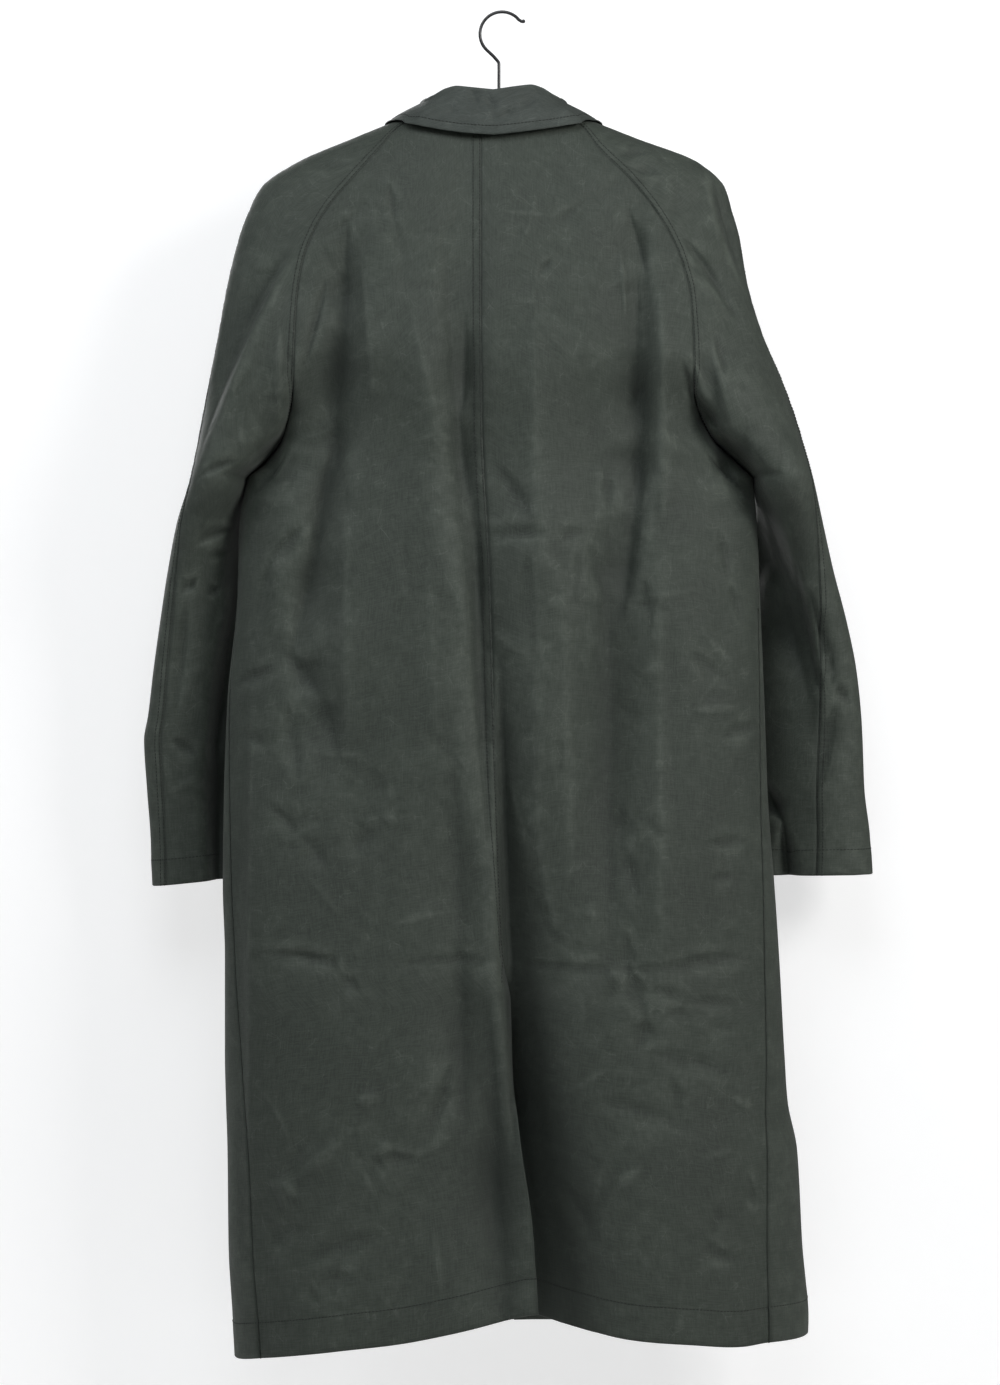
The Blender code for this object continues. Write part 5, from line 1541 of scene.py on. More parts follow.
def streak_group():
    """Node group for fine streaks in horn, lacquer, wood and thread."""
    name = "streaked_surface"
    if name in bpy.data.node_groups:
        return bpy.data.node_groups[name]
    group, source, result = new_group(
        name, "ShaderNodeTree", {"Light": "Color", "Dark": "Color", "Stretch": "Vector", "Scale": "Float"},
        {"Color": "Color", "Height": "Float"})
    place = group.nodes.new("ShaderNodeTexCoord").outputs["Object"]
    pulled = math_node(group, "MULTIPLY", place, source.outputs["Stretch"], kind="ShaderNodeVectorMath")
    streaks = noise(group, pulled, STREAKS)
    share = mapped(group, streaks.outputs["Fac"], *SPANS.streaks)
    colour = mix_colours(group, share, source.outputs["Dark"], source.outputs["Light"])
    group.links.new(colour, result.inputs["Color"])
    link_nodes(group, (source, "Scale", streaks, "Scale"), (streaks, "Fac", result, "Height"))
    return group


def new_material(name, values):
    """A material with its shader's plain values set, ready for colour."""
    material = bpy.data.materials.new(name)
    material.use_nodes = True
    surface = material.node_tree.nodes["Principled BSDF"]
    set_inputs(surface, values)
    return material, material.node_tree, surface


def opaque(colour, factor=1.0):
    """A colour times a factor, with full cover."""
    return (*(value * factor for value in colour), 1.0)


def add_surface(tree, surface, group_tree, values, bump):
    """Place a node group with its own values, and let it colour and roughen a surface."""
    group = add_node(tree, "ShaderNodeGroup", node_tree=group_tree)
    set_inputs(group, values)
    raised = add_node(tree, "ShaderNodeBump", {"Strength": bump.strength, "Distance": bump.height})
    link_nodes(tree, (group, "Color", surface, "Base Color"), (group, "Height", raised, "Height"),
               (raised, "Normal", surface, "Normal"))
    return group


def cloth_material(name, colour, pale, dark):
    """Dry waxed cotton."""
    if name in bpy.data.materials:
        return bpy.data.materials[name]
    material, tree, surface = new_material(name, CLOTH_SHINE)
    shades = {"Cloth": opaque(colour), "Pale": opaque(pale), "Dark": opaque(dark)}
    group = add_surface(tree, surface, waxed_cloth_group(), shades, CLOTH_BUMP)
    link_nodes(tree, (group, "Roughness", surface, "Roughness"))
    return material


def streaked_material(finish, colour):
    """Horn, lacquer, wood or thread with fine streaks."""
    if finish.name in bpy.data.materials:
        return bpy.data.materials[finish.name]
    material, tree, surface = new_material(finish.name, {
        "Roughness": finish.roughness, "Coat Weight": finish.clear_coat,
        "Coat Roughness": CLEAR_COAT_ROUGHNESS})
    values = {"Light": opaque(colour, finish.light), "Dark": opaque(colour, finish.dark),
              "Stretch": finish.stretch, "Scale": finish.scale}
    add_surface(tree, surface, streak_group(), values, Bump(finish.bump, STREAK_HEIGHT))
    return material


def body_cloth():
    """Material of the panels and sleeves."""
    colours = bpy.context.scene.coat_colours
    return cloth_material("waxed_cotton", colours.cloth, colours.cloth_pale, colours.cloth_dark_and_shade)


def collar_cloth():
    """Material of the collar."""
    colours = bpy.context.scene.coat_colours
    return cloth_material("waxed_cotton_collar", colours.collar, colours.collar_pale, colours.cloth_dark_and_shade)


def thread_material():
    """Material of the sewing thread."""
    return streaked_material(THREAD, bpy.context.scene.coat_colours.thread)


# Objects

def new_mesh(name, points, faces, edges=()):
    """A mesh from its points and its faces or edges."""
    mesh = bpy.data.meshes.new(name)
    mesh.from_pydata(points, edges, faces)
    mesh.update()
    return mesh


def link_object(name, data):
    """A new object in the scene."""
    made = bpy.data.objects.new(name, data)
    bpy.context.collection.objects.link(made)
    return made


def evaluated_mesh(holder):
    """A plain mesh of an object with its modifiers applied."""
    depsgraph = bpy.context.evaluated_depsgraph_get()
    return bpy.data.meshes.new_from_object(holder.evaluated_get(depsgraph))


def add_piece(name, mesh, material, nodes=()):
    """Link a piece, let it ride on the coat and hide the parts it replaces."""
    mesh.materials.clear()
    mesh.materials.append(material)
    made = link_object(name, mesh)
    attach(made, BODY_NAME)
    if nodes:
        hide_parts(*nodes)
    return made


def hem_relief(panel, turn_up, seed):
    """Relief of a turned-up hem: its stitch line, its soft upper edge and its puckers."""
    relief = HEM_RISE * band(panel.along, -turn_up, turn_up, HEM_RISE_SOFT)
    relief = relief - STITCH_DENT * dent(panel.along, turn_up - HEM_STITCH_INSET, STITCH_DENT_WIDTH)
    return relief + HEM_PUCKER_DEPTH * puckers(panel.along - turn_up, panel.across, seed)


def start_panel(name, grid, outward):
    """Keep a panel's grid, its outward side and its lengths across, along and to the last column."""
    across = lengths_across(grid)
    panels[name] = SimpleNamespace(
        grid=grid, outward=outward, normals=grid_normals(grid, outward),
        across=across, along=lengths_along(grid), to_last=across[:, -1:] - across)
    return panels[name]


def finish_panel(name, relief, thickness, deep, material):
    panel = panels[name]
    # The first mark pales raised cloth as wear and darkens sunken cloth as painted shade; the second is
    # painted shade in folds and seams
    marks = {"rub": rub_and_shade_marks(panel.grid, panel.normals), "deep": deep}
    panel.grid = draw_back(panel.grid + panel.normals * relief[..., None], SEAM_SETBACK)
    panel.normals = grid_normals(panel.grid, panel.outward)
    mesh = wall_mesh(name, panel.grid, panel.normals, thickness, marks)
    add_piece(name + "_cloth", mesh, material, (name,))


def finish_hemmed(name, relief, deep, cloth, turn_up):
    """Finish a panel of the body or a sleeve, whose wall is doubled in the turned-up hem."""
    thickness = cloth * (1 + ease((turn_up - panels[name].along) / HEM_EDGE_SOFT + 0.5))
    finish_panel(name, relief, thickness, deep, body_cloth())


# Flat cut of each cloth piece: width and length of the cloth it is cut from, and its own area
Cut = namedtuple("Cut", "name width length area")


class CoatSizes(bpy.types.PropertyGroup):
    """Sizes of the coat that a user would change."""

    cloth: bpy.props.FloatProperty(
        name="Cloth", description="Thickness of one layer of cloth", default=0.0010, unit="LENGTH")
    hem: bpy.props.FloatProperty(
        name="Hem", description="Height of the turned-up hem", default=0.034, unit="LENGTH")
    cuff: bpy.props.FloatProperty(
        name="Cuff", description="Height of the turned-up cuff", default=0.0255, unit="LENGTH")
    stitch: bpy.props.FloatProperty(
        name="Stitch", description="Length from one stitch to the next", default=0.0034, unit="LENGTH")
    thread: bpy.props.FloatProperty(
        name="Thread", description="Thickness of the sewing thread", default=0.00080, unit="LENGTH")


def colour_property(name, description, default):
    """A linear colour that a user can change."""
    return bpy.props.FloatVectorProperty(
        name=name, description=description, default=default, subtype="COLOR", min=0.0, max=1.0)


class CoatColours(bpy.types.PropertyGroup):
    """Colours of the coat's finishes."""

    cloth: colour_property("Cloth", "Waxed cotton", (0.0295, 0.0385, 0.0300))
    cloth_pale: colour_property("Rubbed cloth", "Waxed cotton on rubbed ridges", (0.0765, 0.0905, 0.0750))
    # The dark colour is both the cloth's own darker clouds and painted shade in hollows, folds and seams
    cloth_dark_and_shade: colour_property("Dark cloth", "Waxed cotton in hollows", (0.0150, 0.0200, 0.0160))
    collar: colour_property("Collar", "Waxed cotton of the collar", (0.034, 0.042, 0.037))
    collar_pale: colour_property("Rubbed collar", "Collar on rubbed ridges", (0.083, 0.097, 0.087))
    thread: colour_property("Thread", "Sewing thread", (0.013, 0.015, 0.013))
    button: colour_property("Button", "Dark horn", (0.020, 0.016, 0.013))
    wire: colour_property("Wire", "Black lacquer", (0.010, 0.010, 0.011))
    bar: colour_property("Bar", "Dark stained wood", (0.030, 0.024, 0.019))


class COAT_OT_body(bpy.types.Operator):
    """Make the back and front panels with their folds, creases and seams."""

    bl_idname = "coat.body"
    bl_label = "Body panels"

    def execute(self, context):
        sizes = context.scene.coat_sizes
        for side in SIDES:
            self.make_back(side, sizes)
            self.make_front(side, sizes)
        return {"FINISHED"}

    def make_back(self, side, sizes):
        """One back panel; the centre seam is felled on the left one."""
        name = "back_" + side
        panel = start_panel(name, back_panel(side), SIDE_SIGN[side])
        above_vent = ease((panel.grid[:, :1, 2] - VENT_TOP_Z) / VENT_LIFT_RUN)
        felled = CENTRE_STITCHES if side == "left" else ()
        relief = hem_relief(panel, sizes.hem, SEEDS.back_hem)
        relief = relief + above_vent * welt_relief(panel.across, panel.along, felled, SEEDS.centre)
        relief = relief + welt_relief(panel.to_last, panel.along, (), SEEDS.side)
        if side == "left":
            pressed = STITCH_DENT * dent(panel.across, VENT_EDGE_STITCH, STITCH_DENT_WIDTH)
            relief = relief - (1 - above_vent) * pressed
        deep = painted_shade_marks("body", panel.grid, BACK_FACE, np.minimum(panel.across, panel.to_last))
        finish_hemmed(name, relief, deep, sizes.cloth, sizes.hem)

    def make_front(self, side, sizes):
        """One front panel with its stitched free edge."""
        name = "front_" + side
        panel = start_panel(name, front_panel(side), -SIDE_SIGN[side])
        relief = hem_relief(panel, sizes.hem, SEEDS.front_hem)
        relief = relief - STITCH_DENT * dent(panel.across, FRONT_EDGE_STITCH, STITCH_DENT_WIDTH)
        relief = relief + welt_relief(panel.to_last, panel.along, (), SEEDS.side)
        deep = painted_shade_marks("body", panel.grid, FRONT_FACE, panel.to_last)
        finish_hemmed(name, relief, deep, sizes.cloth, sizes.hem)


class COAT_OT_sleeves(bpy.types.Operator):
    """Make the back and front halves of both sleeves."""

    bl_idname = "coat.sleeves"
    bl_label = "Sleeves"

    def execute(self, context):
        sizes = context.scene.coat_sizes
        for side in SIDES:
            for half, face in HALVES.items():
                self.make_half(side, half, face, sizes)
        return {"FINISHED"}

    def make_half(self, side, half, face, sizes):
        """One half sleeve with its felled raglan edge; the overarm edge is felled on the front half."""
        name = "sleeve_%s_%s" % (half, side)
        panel = start_panel(name, sleeve_panel(side, half), face * SIDE_SIGN[side])
        on_raglan = ease((panel.grid[:, -1:, 2] - UNDERARM_Z) / VENT_LIFT_RUN + 0.5)
        felled = OVERARM_STITCHES if half == "front" else ()
        relief = hem_relief(panel, sizes.cuff, SEEDS.cuff)
        relief = relief + on_raglan * welt_relief(panel.to_last, panel.along, RAGLAN_STITCHES, SEEDS.raglan)
        relief = relief + welt_relief(panel.across, panel.along, felled, SEEDS.overarm)
        deep = painted_shade_marks("sleeve", panel.grid, face, np.minimum(panel.across, panel.to_last))
        finish_hemmed(name, relief, deep, sizes.cloth, sizes.cuff)


class COAT_OT_collar(bpy.types.Operator):
    """Make the collar, a stand and a fall that turns over it."""

    bl_idname = "coat.collar"
    bl_label = "Collar"

    def execute(self, context):
        grid = collar_grid()
        fall_y = grid_normals(grid, 1.0)[len(grid) // 2, -1, 1]
        panel = start_panel("collar", grid, -1.0 if fall_y > 0 else 1.0)
        relief = -STITCH_DENT * dent(panel.to_last, COLLAR_STITCH, STITCH_DENT_WIDTH)
        relief = relief + PUCKER_DEPTH * puckers(panel.to_last - COLLAR_STITCH, panel.along, SEEDS.collar)
        behind = ease(-COLLAR_BACK_SHARPNESS * panel.normals[..., 1])
        relief = relief - behind * crease_depth(COLLAR_CREASES, grid[..., 0], grid[..., 2])
        thickness = np.full(grid.shape[:2], COLLAR_LAYERS * context.scene.coat_sizes.cloth)
        finish_panel("collar", relief, thickness, np.zeros(grid.shape[:2]), collar_cloth())
        return {"FINISHED"}


def stitch_tree():
    """Geometry Nodes that lay stitches end to end along every line of a mesh of edges."""
    name = "stitches_along_lines"
    if name in bpy.data.node_groups:
        return bpy.data.node_groups[name]
    tree, source, result = new_group(
        name, "GeometryNodeTree", {"Geometry": "Geometry", "Pitch": "Float", "Thread": "Float",
                                   "Share": "Float", "Finish": "Material"}, {"Geometry": "Geometry"})
    lines = add_node(tree, "GeometryNodeMeshToCurve")
    steps = add_node(tree, "GeometryNodeResampleCurve", mode="LENGTH")
    stitch = add_node(tree, "GeometryNodeMeshUVSphere", STITCH_BALL)
    size = add_node(tree, "ShaderNodeCombineXYZ")
    shaped = add_node(tree, "GeometryNodeTransform")
    smooth = add_node(tree, "GeometryNodeSetShadeSmooth")
    tangent = add_node(tree, "GeometryNodeInputTangent")
    turned = add_node(tree, "FunctionNodeAlignRotationToVector", axis="Z")
    placed = add_node(tree, "GeometryNodeInstanceOnPoints")
    real = add_node(tree, "GeometryNodeRealizeInstances")
    finish = add_node(tree, "GeometryNodeSetMaterial")
    tree.links.new(times(tree, source.outputs["Pitch"], source.outputs["Share"]), size.inputs["Z"])
    link_nodes(
        tree,
        (source, "Geometry", lines, "Mesh"),
        (lines, "Curve", steps, "Curve"),
        (source, "Pitch", steps, "Length"),
        (source, "Thread", size, "X"),
        (source, "Thread", size, "Y"),
        (stitch, "Mesh", shaped, "Geometry"),
        (size, "Vector", shaped, "Scale"),
        (shaped, "Geometry", smooth, "Geometry"),
        (tangent, "Tangent", turned, "Vector"),
        (steps, "Curve", placed, "Points"),
        (smooth, "Geometry", placed, "Instance"),
        (turned, "Rotation", placed, "Rotation"),
        (placed, "Instances", real, "Geometry"),
        (real, "Geometry", finish, "Geometry"),
        (source, "Finish", finish, "Material"),
        (finish, "Geometry", result, "Geometry"),
    )
    return tree


def sew(name, lines, stitching):
    """Lay stitches along lines of points and make them one plain mesh."""
    edges = []
    start = 0
    for line in lines:
        edges += [(i, i + 1) for i in range(start, start + len(line) - 1)]
        start += len(line)
    points = np.concatenate(lines).tolist()
    holder = link_object(name + "_lines", new_mesh(name + "_lines", points, [], edges))
    tree = stitch_tree()
    modifier = holder.modifiers.new("stitches", "NODES")
    modifier.node_group = tree
    values = {"Pitch": stitching.pitch, "Thread": stitching.thread, "Share": stitching.share,
              "Finish": thread_material()}
    for item in tree.interface.items_tree:
        if item.in_out == "INPUT" and item.name in values:
            modifier[item.identifier] = values[item.name]
    sewn = evaluated_mesh(holder)
    holder.modifiers.remove(modifier)
    bpy.data.objects.remove(holder, do_unlink=True)
    sewn.name = name
    add_piece(name, sewn, thread_material())


class COAT_OT_topstitching(bpy.types.Operator):
    """Sew the topstitching along the seams, hems and edges."""

    bl_idname = "coat.topstitching"
    bl_label = "Topstitching"

    def execute(self, context):
        sizes = context.scene.coat_sizes
        stitching = Stitching(sizes.stitch, sizes.thread, STITCH_SHARE)
        sew("seam_stitches", self.seam_lines(), stitching)
        sew("hem_stitches", self.hem_lines(sizes), stitching)
        sew("edge_stitches", self.edge_lines(), stitching)
        line = line_beside(panels["collar"], COLLAR_STITCH, from_last=True)
        sew("collar_stitches", [line], stitching)
        return {"FINISHED"}

    def seam_lines(self):
        """Double rows beside the raglan, centre-back and overarm seams."""
        lines = []
        for side in SIDES:
            for half in HALVES:
                panel = panels["sleeve_%s_%s" % (half, side)]
                rows = np.flatnonzero(panel.grid[:, -1, 2] > UNDERARM_Z)
                lines += [line_beside(panel, at, True, rows) for at in RAGLAN_STITCHES]
            lines += [line_beside(panels["sleeve_front_" + side], at) for at in OVERARM_STITCHES]
        panel = panels["back_left"]
        rows = np.flatnonzero(panel.grid[:, 0, 2] > VENT_TOP_Z)
        lines += [line_beside(panel, at, False, rows) for at in CENTRE_STITCHES]
        return lines

    def hem_lines(self, sizes):
        """One row over each turned-up hem and cuff."""
        lines = []
        for name, panel in panels.items():
            if name != "collar":
                height = sizes.cuff if name.startswith("sleeve") else sizes.hem
                lines.append(line_above(panel, height - HEM_STITCH_INSET))
        return lines

    def edge_lines(self):
        """One row along each front edge, and the slanting tack that holds the top of the vent."""
        lines = [line_beside(panels["front_" + side], FRONT_EDGE_STITCH) for side in SIDES]
        panel = panels["back_left"]
        level = panel.grid[:, 0, 2]
        rows = np.flatnonzero((level > VENT_TACK_FOOT_Z) & (level < VENT_TOP_Z))
        lines.append(line_beside(panel, np.linspace(VENT_TACK_WIDTH, 0.0, len(rows)), False, rows))
        return lines


def turned_mesh(name, profile, sides):
    """A solid of revolution about Z from a profile of radii and heights that ends on the axis."""
    points = []
    faces = []
    rings = profile[1:-1]
    for radius, height in rings:
        for i in range(sides):
            angle = 2 * math.pi * i / sides
            points.append((radius * math.cos(angle), radius * math.sin(angle), height))
    low = len(points)
    high = low + 1
    points += [(0.0, 0.0, profile[0][1]), (0.0, 0.0, profile[-1][1])]
    top = (len(rings) - 1) * sides
    for i in range(sides):
        j = (i + 1) % sides
        faces.append((low, j, i))
        faces.append((high, top + i, top + j))
        for r in range(len(rings) - 1):
            faces.append((r * sides + i, r * sides + j, (r + 1) * sides + j, (r + 1) * sides + i))
    return new_mesh(name, points, faces)


class COAT_OT_buttons(bpy.types.Operator):
    """Make the buttons with their holes, their thread and their buttonholes."""

    bl_idname = "coat.buttons"
    bl_label = "Buttons"

    def execute(self, context):
        horn = streaked_material(HORN, context.scene.coat_colours.button)
        crosses = []
        holes = []
        for number, z in enumerate(BUTTON_HEIGHTS, start=1):
            node = "button_%d" % number
            low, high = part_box(node)
            centre = ((low[0] + high[0]) / 2, low[1], (low[2] + high[2]) / 2)
            add_piece(node + "_horn", self.button_mesh(node, centre), horn, (node,))
            crosses += self.cross_lines(centre)
            holes.append(self.buttonhole_line(centre[0], z))
        sew("button_thread", crosses, BUTTON_THREAD)
        sew("buttonholes", holes, BUTTONHOLE_THREAD)
        return {"FINISHED"}

    def button_mesh(self, name, centre):
        """A dished button with four holes, facing +Y."""
        profile = [(radius * BUTTON_RADIUS, height * BUTTON_THICKNESS) for radius, height in BUTTON_PROFILE]
        blank = link_object(name + "_blank", turned_mesh(name, profile, BUTTON_SIDES))
        drill = [(0.0, DRILL_LOW), (BUTTON_HOLE_RADIUS, DRILL_LOW), (BUTTON_HOLE_RADIUS, DRILL_HIGH),
                 (0.0, DRILL_HIGH)]
        used = [blank]
        for dx, dy in product((-BUTTON_HOLE_SPREAD, BUTTON_HOLE_SPREAD), repeat=2):
            cutter = turned_mesh(name + "_cutter", drill, DRILL_SIDES)
            cutter.transform(Matrix.Translation((dx, dy, 0.0)))
            used.append(link_object(cutter.name, cutter))
            blank.modifiers.new("hole", "BOOLEAN").object = used[-1]
        mesh = evaluated_mesh(blank)
        for made in used:
            bpy.data.objects.remove(made, do_unlink=True)
        mesh.transform(facing_front(centre))
        mesh.shade_smooth()
        mesh.set_sharp_from_angle(angle=math.radians(BUTTON_SHARP_ANGLE))
        return mesh

    def cross_lines(self, centre):
        """Two bars of thread across the holes of a button."""
        x, y, z = centre
        level = y + CROSS_LEVEL * BUTTON_THICKNESS
        lines = []
        for dx in (-BUTTON_HOLE_SPREAD, BUTTON_HOLE_SPREAD):
            ends = [(x + dx, level, z + dz) for dz in (-BUTTON_HOLE_SPREAD, BUTTON_HOLE_SPREAD)]
            lines.append(np.linspace(*ends, CROSS_POINTS))
        return lines

    def buttonhole_line(self, x, z):
        """A worked oval round the button's slit, lying on the left front."""
        angles = np.linspace(0.0, 2 * math.pi, BUTTONHOLE_POINTS)
        across = x + BUTTONHOLE_LENGTH / 2 * np.cos(angles) + BUTTONHOLE_SHIFT
        height = z + BUTTONHOLE_WIDTH / 2 * np.sin(angles)
        depth = shell("body", "left", across, height, FRONT_FACE) + front_lift(across, height) + STITCH_LIFT
        return np.stack([across, depth, height], axis=-1)


def facing_front(centre):
    """A matrix that turns +Z to +Y and moves to a centre."""
    x, y, z = centre
    return Matrix(((1, 0, 0, x), (0, 0, 1, y), (0, -1, 0, z), (0, 0, 0, 1)))


def ridge_z(x):
    """Height of the shoulder ridge over a place across the coat."""
    side = "left" if x < STEM_X else "right"
    across, levels = overarm_points(side, np.linspace(1.0, 0.0, RIDGE_SAMPLES))
    return float(np.interp(abs(x), np.abs(across), levels))


class COAT_OT_hanger(bpy.types.Operator):
    """Make the wire hook and the shoulder bar."""

    bl_idname = "coat.hanger"
    bl_label = "Hanger"

    def execute(self, context):
        colours = context.scene.coat_colours
        lacquer = streaked_material(LACQUER, colours.wire)
        add_piece("hook_wire", self.hook_mesh(), lacquer, ("hanger_hook",))
        wood = streaked_material(WOOD, colours.bar)
        add_piece("shoulder_bar", self.bar_mesh(), wood, ("hanger_bar",))
        return {"FINISHED"}

    def hook_path(self):
        """Corner points of the wire, from the bar up and round to the tip."""
        centre_z = WIRE_RADIUS - HOOK_RADIUS
        points = [(STEM_X, BAR_CENTRE_TOP_Z + BAR_SEAT_GAP), (STEM_X, STEM_TOP_Z - STEM_BEND_LENGTH)]
        points += [(STEM_X, STEM_TOP_Z), (STEM_X - STEM_LEAN_X, STEM_TOP_Z + STEM_LEAN_Z)]
        for i in range(HOOK_ARC_POINTS + 1):
            turned = HOOK_START_ANGLE + (HOOK_END_ANGLE - HOOK_START_ANGLE) * i / HOOK_ARC_POINTS
            angle = math.radians(turned)
            points.append((HOOK_RADIUS * math.cos(angle), centre_z + HOOK_RADIUS * math.sin(angle)))
        end_x, end_z = points[-1]
        points.append((end_x + HOOK_TIP_REACH / 2, end_z - HOOK_TIP_SAG))
        points.append((end_x + HOOK_TIP_REACH, end_z - HOOK_TIP_DROP))
        return np.array(points)

    def hook_mesh(self):
        """Round wire along the path, with a rounded knob at its tip."""
        corners = self.hook_path()
        run = np.concatenate([[0.0], np.cumsum(np.linalg.norm(np.diff(corners, axis=0), axis=1))])
        at = np.linspace(0.0, run[-1], HOOK_STEPS * len(corners))
        path = np.stack([smooth_through(run, corners[:, i])(at) for i in range(2)], axis=-1)
        tangent = np.gradient(path, axis=0)
        tangent /= np.linalg.norm(tangent, axis=1, keepdims=True)
        to_tip = run[-1] - at
        radius = WIRE_RADIUS * (1 + (HOOK_KNOB - 1) * ease(1 - to_tip / HOOK_KNOB_LENGTH))
        tip = HOOK_KNOB * WIRE_RADIUS
        radius = radius * np.sqrt(np.clip(1 - (1 - np.clip(to_tip / tip, 0, 1)) ** 2, HOOK_TIP_FLAT, 1))
        points = []
        for (x, z), (tx, tz), size in zip(path, tangent, radius):
            for i in range(HOOK_SIDES):
                angle = 2 * math.pi * i / HOOK_SIDES
                side = size * math.cos(angle)
                points.append((x - tz * side, size * math.sin(angle), z + tx * side))
        return tube_mesh("hook_wire", np.array(points), len(path), HOOK_SIDES)

    def bar_mesh(self):
        """Plain shoulder bar, rounded, under the shoulder ridge from end to end."""
        points = []
        share = (1 - np.cos(np.linspace(0.0, math.pi, BAR_SECTIONS + 1))) / 2
        for x in BAR_LEFT_X + (BAR_RIGHT_X - BAR_LEFT_X) * share:
            neck_end = float(outer.left(NECK_SIDE_Z) if x < STEM_X else outer.right(NECK_SIDE_Z))
            top = ridge_z(x) - SOLID_CLOTH - BAR_CLEARANCE
            if abs(x - STEM_X) < abs(neck_end - STEM_X):
                side_top = NECK_SIDE_Z - SOLID_CLOTH - BAR_CLEARANCE
                to_neck = (x - STEM_X) / (neck_end - STEM_X)
                top = side_top + (BAR_CENTRE_TOP_Z - side_top) * float(ease(1 - to_neck))
            to_end = min(x - BAR_LEFT_X, BAR_RIGHT_X - x)
            fullness = math.sqrt(1 - (1 - min(to_end / BAR_END_TAPER, 1.0)) ** 2 * BAR_END_ROUNDING)
            centre = top - BAR_HEIGHT / 2
            for i in range(BAR_SIDES):
                angle = 2 * math.pi * i / BAR_SIDES
                y = BAR_HALF_WIDTH * fullness * math.sin(angle)
                points.append((float(x), y, centre + BAR_HEIGHT * fullness / 2 * math.cos(angle)))
        return tube_mesh("shoulder_bar", np.array(points), BAR_SECTIONS + 1, BAR_SIDES)


def tube_mesh(name, points, rings, sides):
    """A closed tube from rings of points, with flat ends."""
    faces = []
    for r in range(rings - 1):
        for i in range(sides):
            j = (i + 1) % sides
            a = r * sides
            faces.append((a + i, a + j, a + sides + j, a + sides + i))
    faces.append(tuple(range(sides - 1, -1, -1)))
    faces.append(tuple(range((rings - 1) * sides, rings * sides)))
    mesh = new_mesh(name, points.tolist(), faces)
    if signed_volume(points, np.array(faces[:-2])) < 0:
        mesh.flip_normals()
    mesh.shade_smooth()
    return mesh


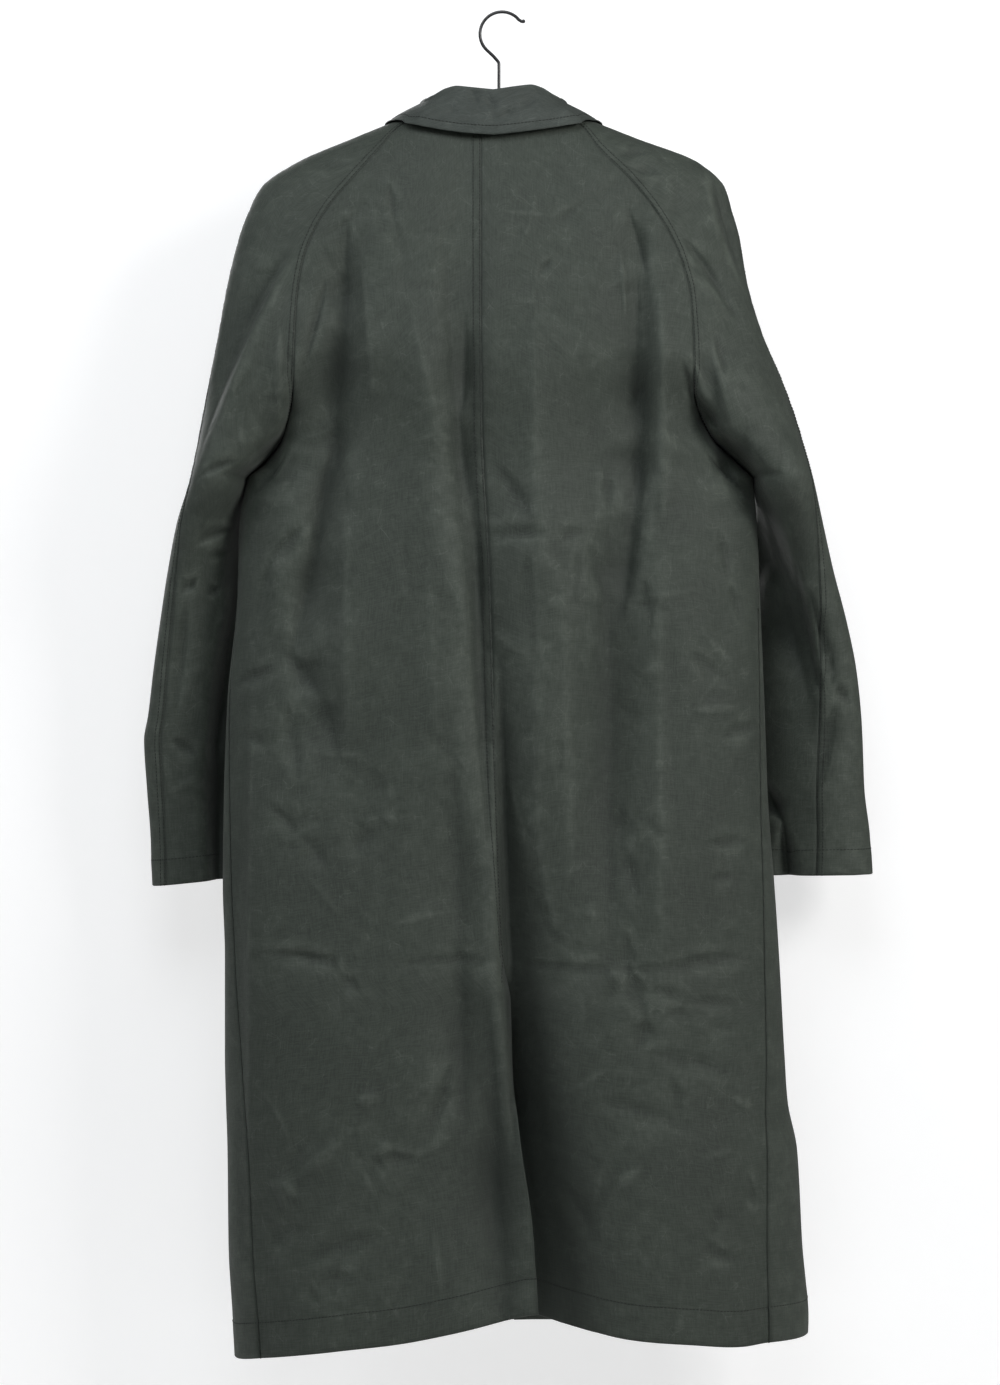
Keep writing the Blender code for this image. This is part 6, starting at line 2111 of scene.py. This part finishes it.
class COAT_OT_stage(bpy.types.Operator):
    """Set the camera, the soft lights, the pale floor and the wall behind."""

    bl_idname = "coat.stage"
    bl_label = "Stage"

    def execute(self, context):
        scene = context.scene
        scene.view_settings.view_transform = "Standard"
        self.make_camera(scene)
        self.make_world(scene)
        for lamp in LAMPS:
            self.make_lamp(lamp)
        self.make_floor()
        self.make_wall()
        return {"FINISHED"}

    def make_camera(self, scene):
        """A camera square to the coat's back, framed as the photograph."""
        data = bpy.data.cameras.new("camera")
        data.sensor_fit = "VERTICAL"
        data.sensor_height = SENSOR
        data.lens = SENSOR * -CAMERA_PLACE[1] / (IMAGE_HEIGHT * METRES_A_PIXEL)
        camera = link_object("camera", data)
        camera.location = CAMERA_PLACE
        camera.rotation_euler = (math.radians(90), 0.0, 0.0)
        scene.camera = camera

    def make_world(self, scene):
        """Even pale light from all round."""
        world = bpy.data.worlds.new("studio")
        world.use_nodes = True
        set_inputs(world.node_tree.nodes["Background"], {"Color": WHITE, "Strength": WORLD_LIGHT})
        scene.world = world

    def make_lamp(self, lamp):
        """A square soft light aimed at a point."""
        data = bpy.data.lights.new(lamp.name, "AREA")
        data.shape = "SQUARE"
        data.size = lamp.width
        data.energy = lamp.power
        data.color = lamp.colour
        made = link_object(lamp.name, data)
        made.location = lamp.place
        aim = np.array(lamp.target) - np.array(lamp.place)
        flat = math.hypot(aim[0], aim[1])
        made.rotation_euler = (math.atan2(flat, -aim[2]), 0.0, math.atan2(-aim[0], aim[1]))

    def stage_sheet(self, name, near, far, material):
        """A flat sheet of the stage between two edges, each given by its Y and Z."""
        corners = [(-STAGE_REACH, *near), (STAGE_REACH, *near), (STAGE_REACH, *far), (-STAGE_REACH, *far)]
        mesh = new_mesh(name, corners, [(0, 1, 2, 3)])
        mesh.materials.append(material)
        made = link_object(name, mesh)
        return made

    def make_floor(self):
        """Plain pale floor under the hanging coat."""
        material, _, _ = new_material("pale_floor", FLOOR_FINISH)
        self.stage_sheet("floor", (-STAGE_REACH, FLOOR_Z), (STAGE_REACH, FLOOR_Z), material)

    def make_wall(self):
        """Pale wall close behind, seen only from its front, that takes the coat's soft shadow."""
        material, tree, surface = new_material("pale_wall", WALL_FINISH)
        clear = tree.nodes.new("ShaderNodeBsdfTransparent")
        mix = tree.nodes.new("ShaderNodeMixShader")
        side = tree.nodes.new("ShaderNodeNewGeometry")
        link_nodes(tree, (side, "Backfacing", mix, "Fac"), (surface, "BSDF", mix, 1), (clear, "BSDF", mix, 2),
                   (mix, "Shader", tree.nodes["Material Output"], "Surface"))
        wall = self.stage_sheet("wall", (WALL_Y, FLOOR_Z), (WALL_Y, WALL_TOP_Z), material)
        wall.visible_shadow = False
        wall.visible_diffuse = False
        wall.visible_glossy = False


class COAT_PT_panel(bpy.types.Panel):
    """Sidebar panel of the coat."""

    bl_label = "Coat"
    bl_idname = "COAT_PT_panel"
    bl_space_type = "VIEW_3D"
    bl_region_type = "UI"
    bl_category = "Coat"

    def draw(self, context):
        for name in ("coat_sizes", "coat_colours"):
            group = getattr(context.scene, name)
            box = self.layout.box()
            for field in group.__annotations__:
                box.prop(group, field)
        for operator in OPERATORS:
            self.layout.operator(operator.bl_idname)


OPERATORS = (COAT_OT_hanger, COAT_OT_body, COAT_OT_sleeves, COAT_OT_collar, COAT_OT_topstitching,
             COAT_OT_buttons, COAT_OT_stage)
CLASSES = (CoatSizes, CoatColours) + OPERATORS + (COAT_PT_panel,)


def register():
    """Add the coat's classes and its settings to Blender."""
    for made in CLASSES:
        bpy.utils.register_class(made)
    bpy.types.Scene.coat_sizes = bpy.props.PointerProperty(type=CoatSizes)
    bpy.types.Scene.coat_colours = bpy.props.PointerProperty(type=CoatColours)


def unregister():
    """Take the coat's classes and its settings out of Blender."""
    del bpy.types.Scene.coat_colours
    del bpy.types.Scene.coat_sizes
    for made in reversed(CLASSES):
        bpy.utils.unregister_class(made)


def main():
    """Dress the frame piece by piece and set the stage."""
    register()
    bpy.ops.coat.hanger()
    bpy.ops.coat.body()
    bpy.ops.coat.sleeves()
    bpy.ops.coat.collar()
    bpy.ops.coat.topstitching()
    bpy.ops.coat.buttons()
    bpy.ops.coat.stage()


if __name__ == "__main__":
    main()
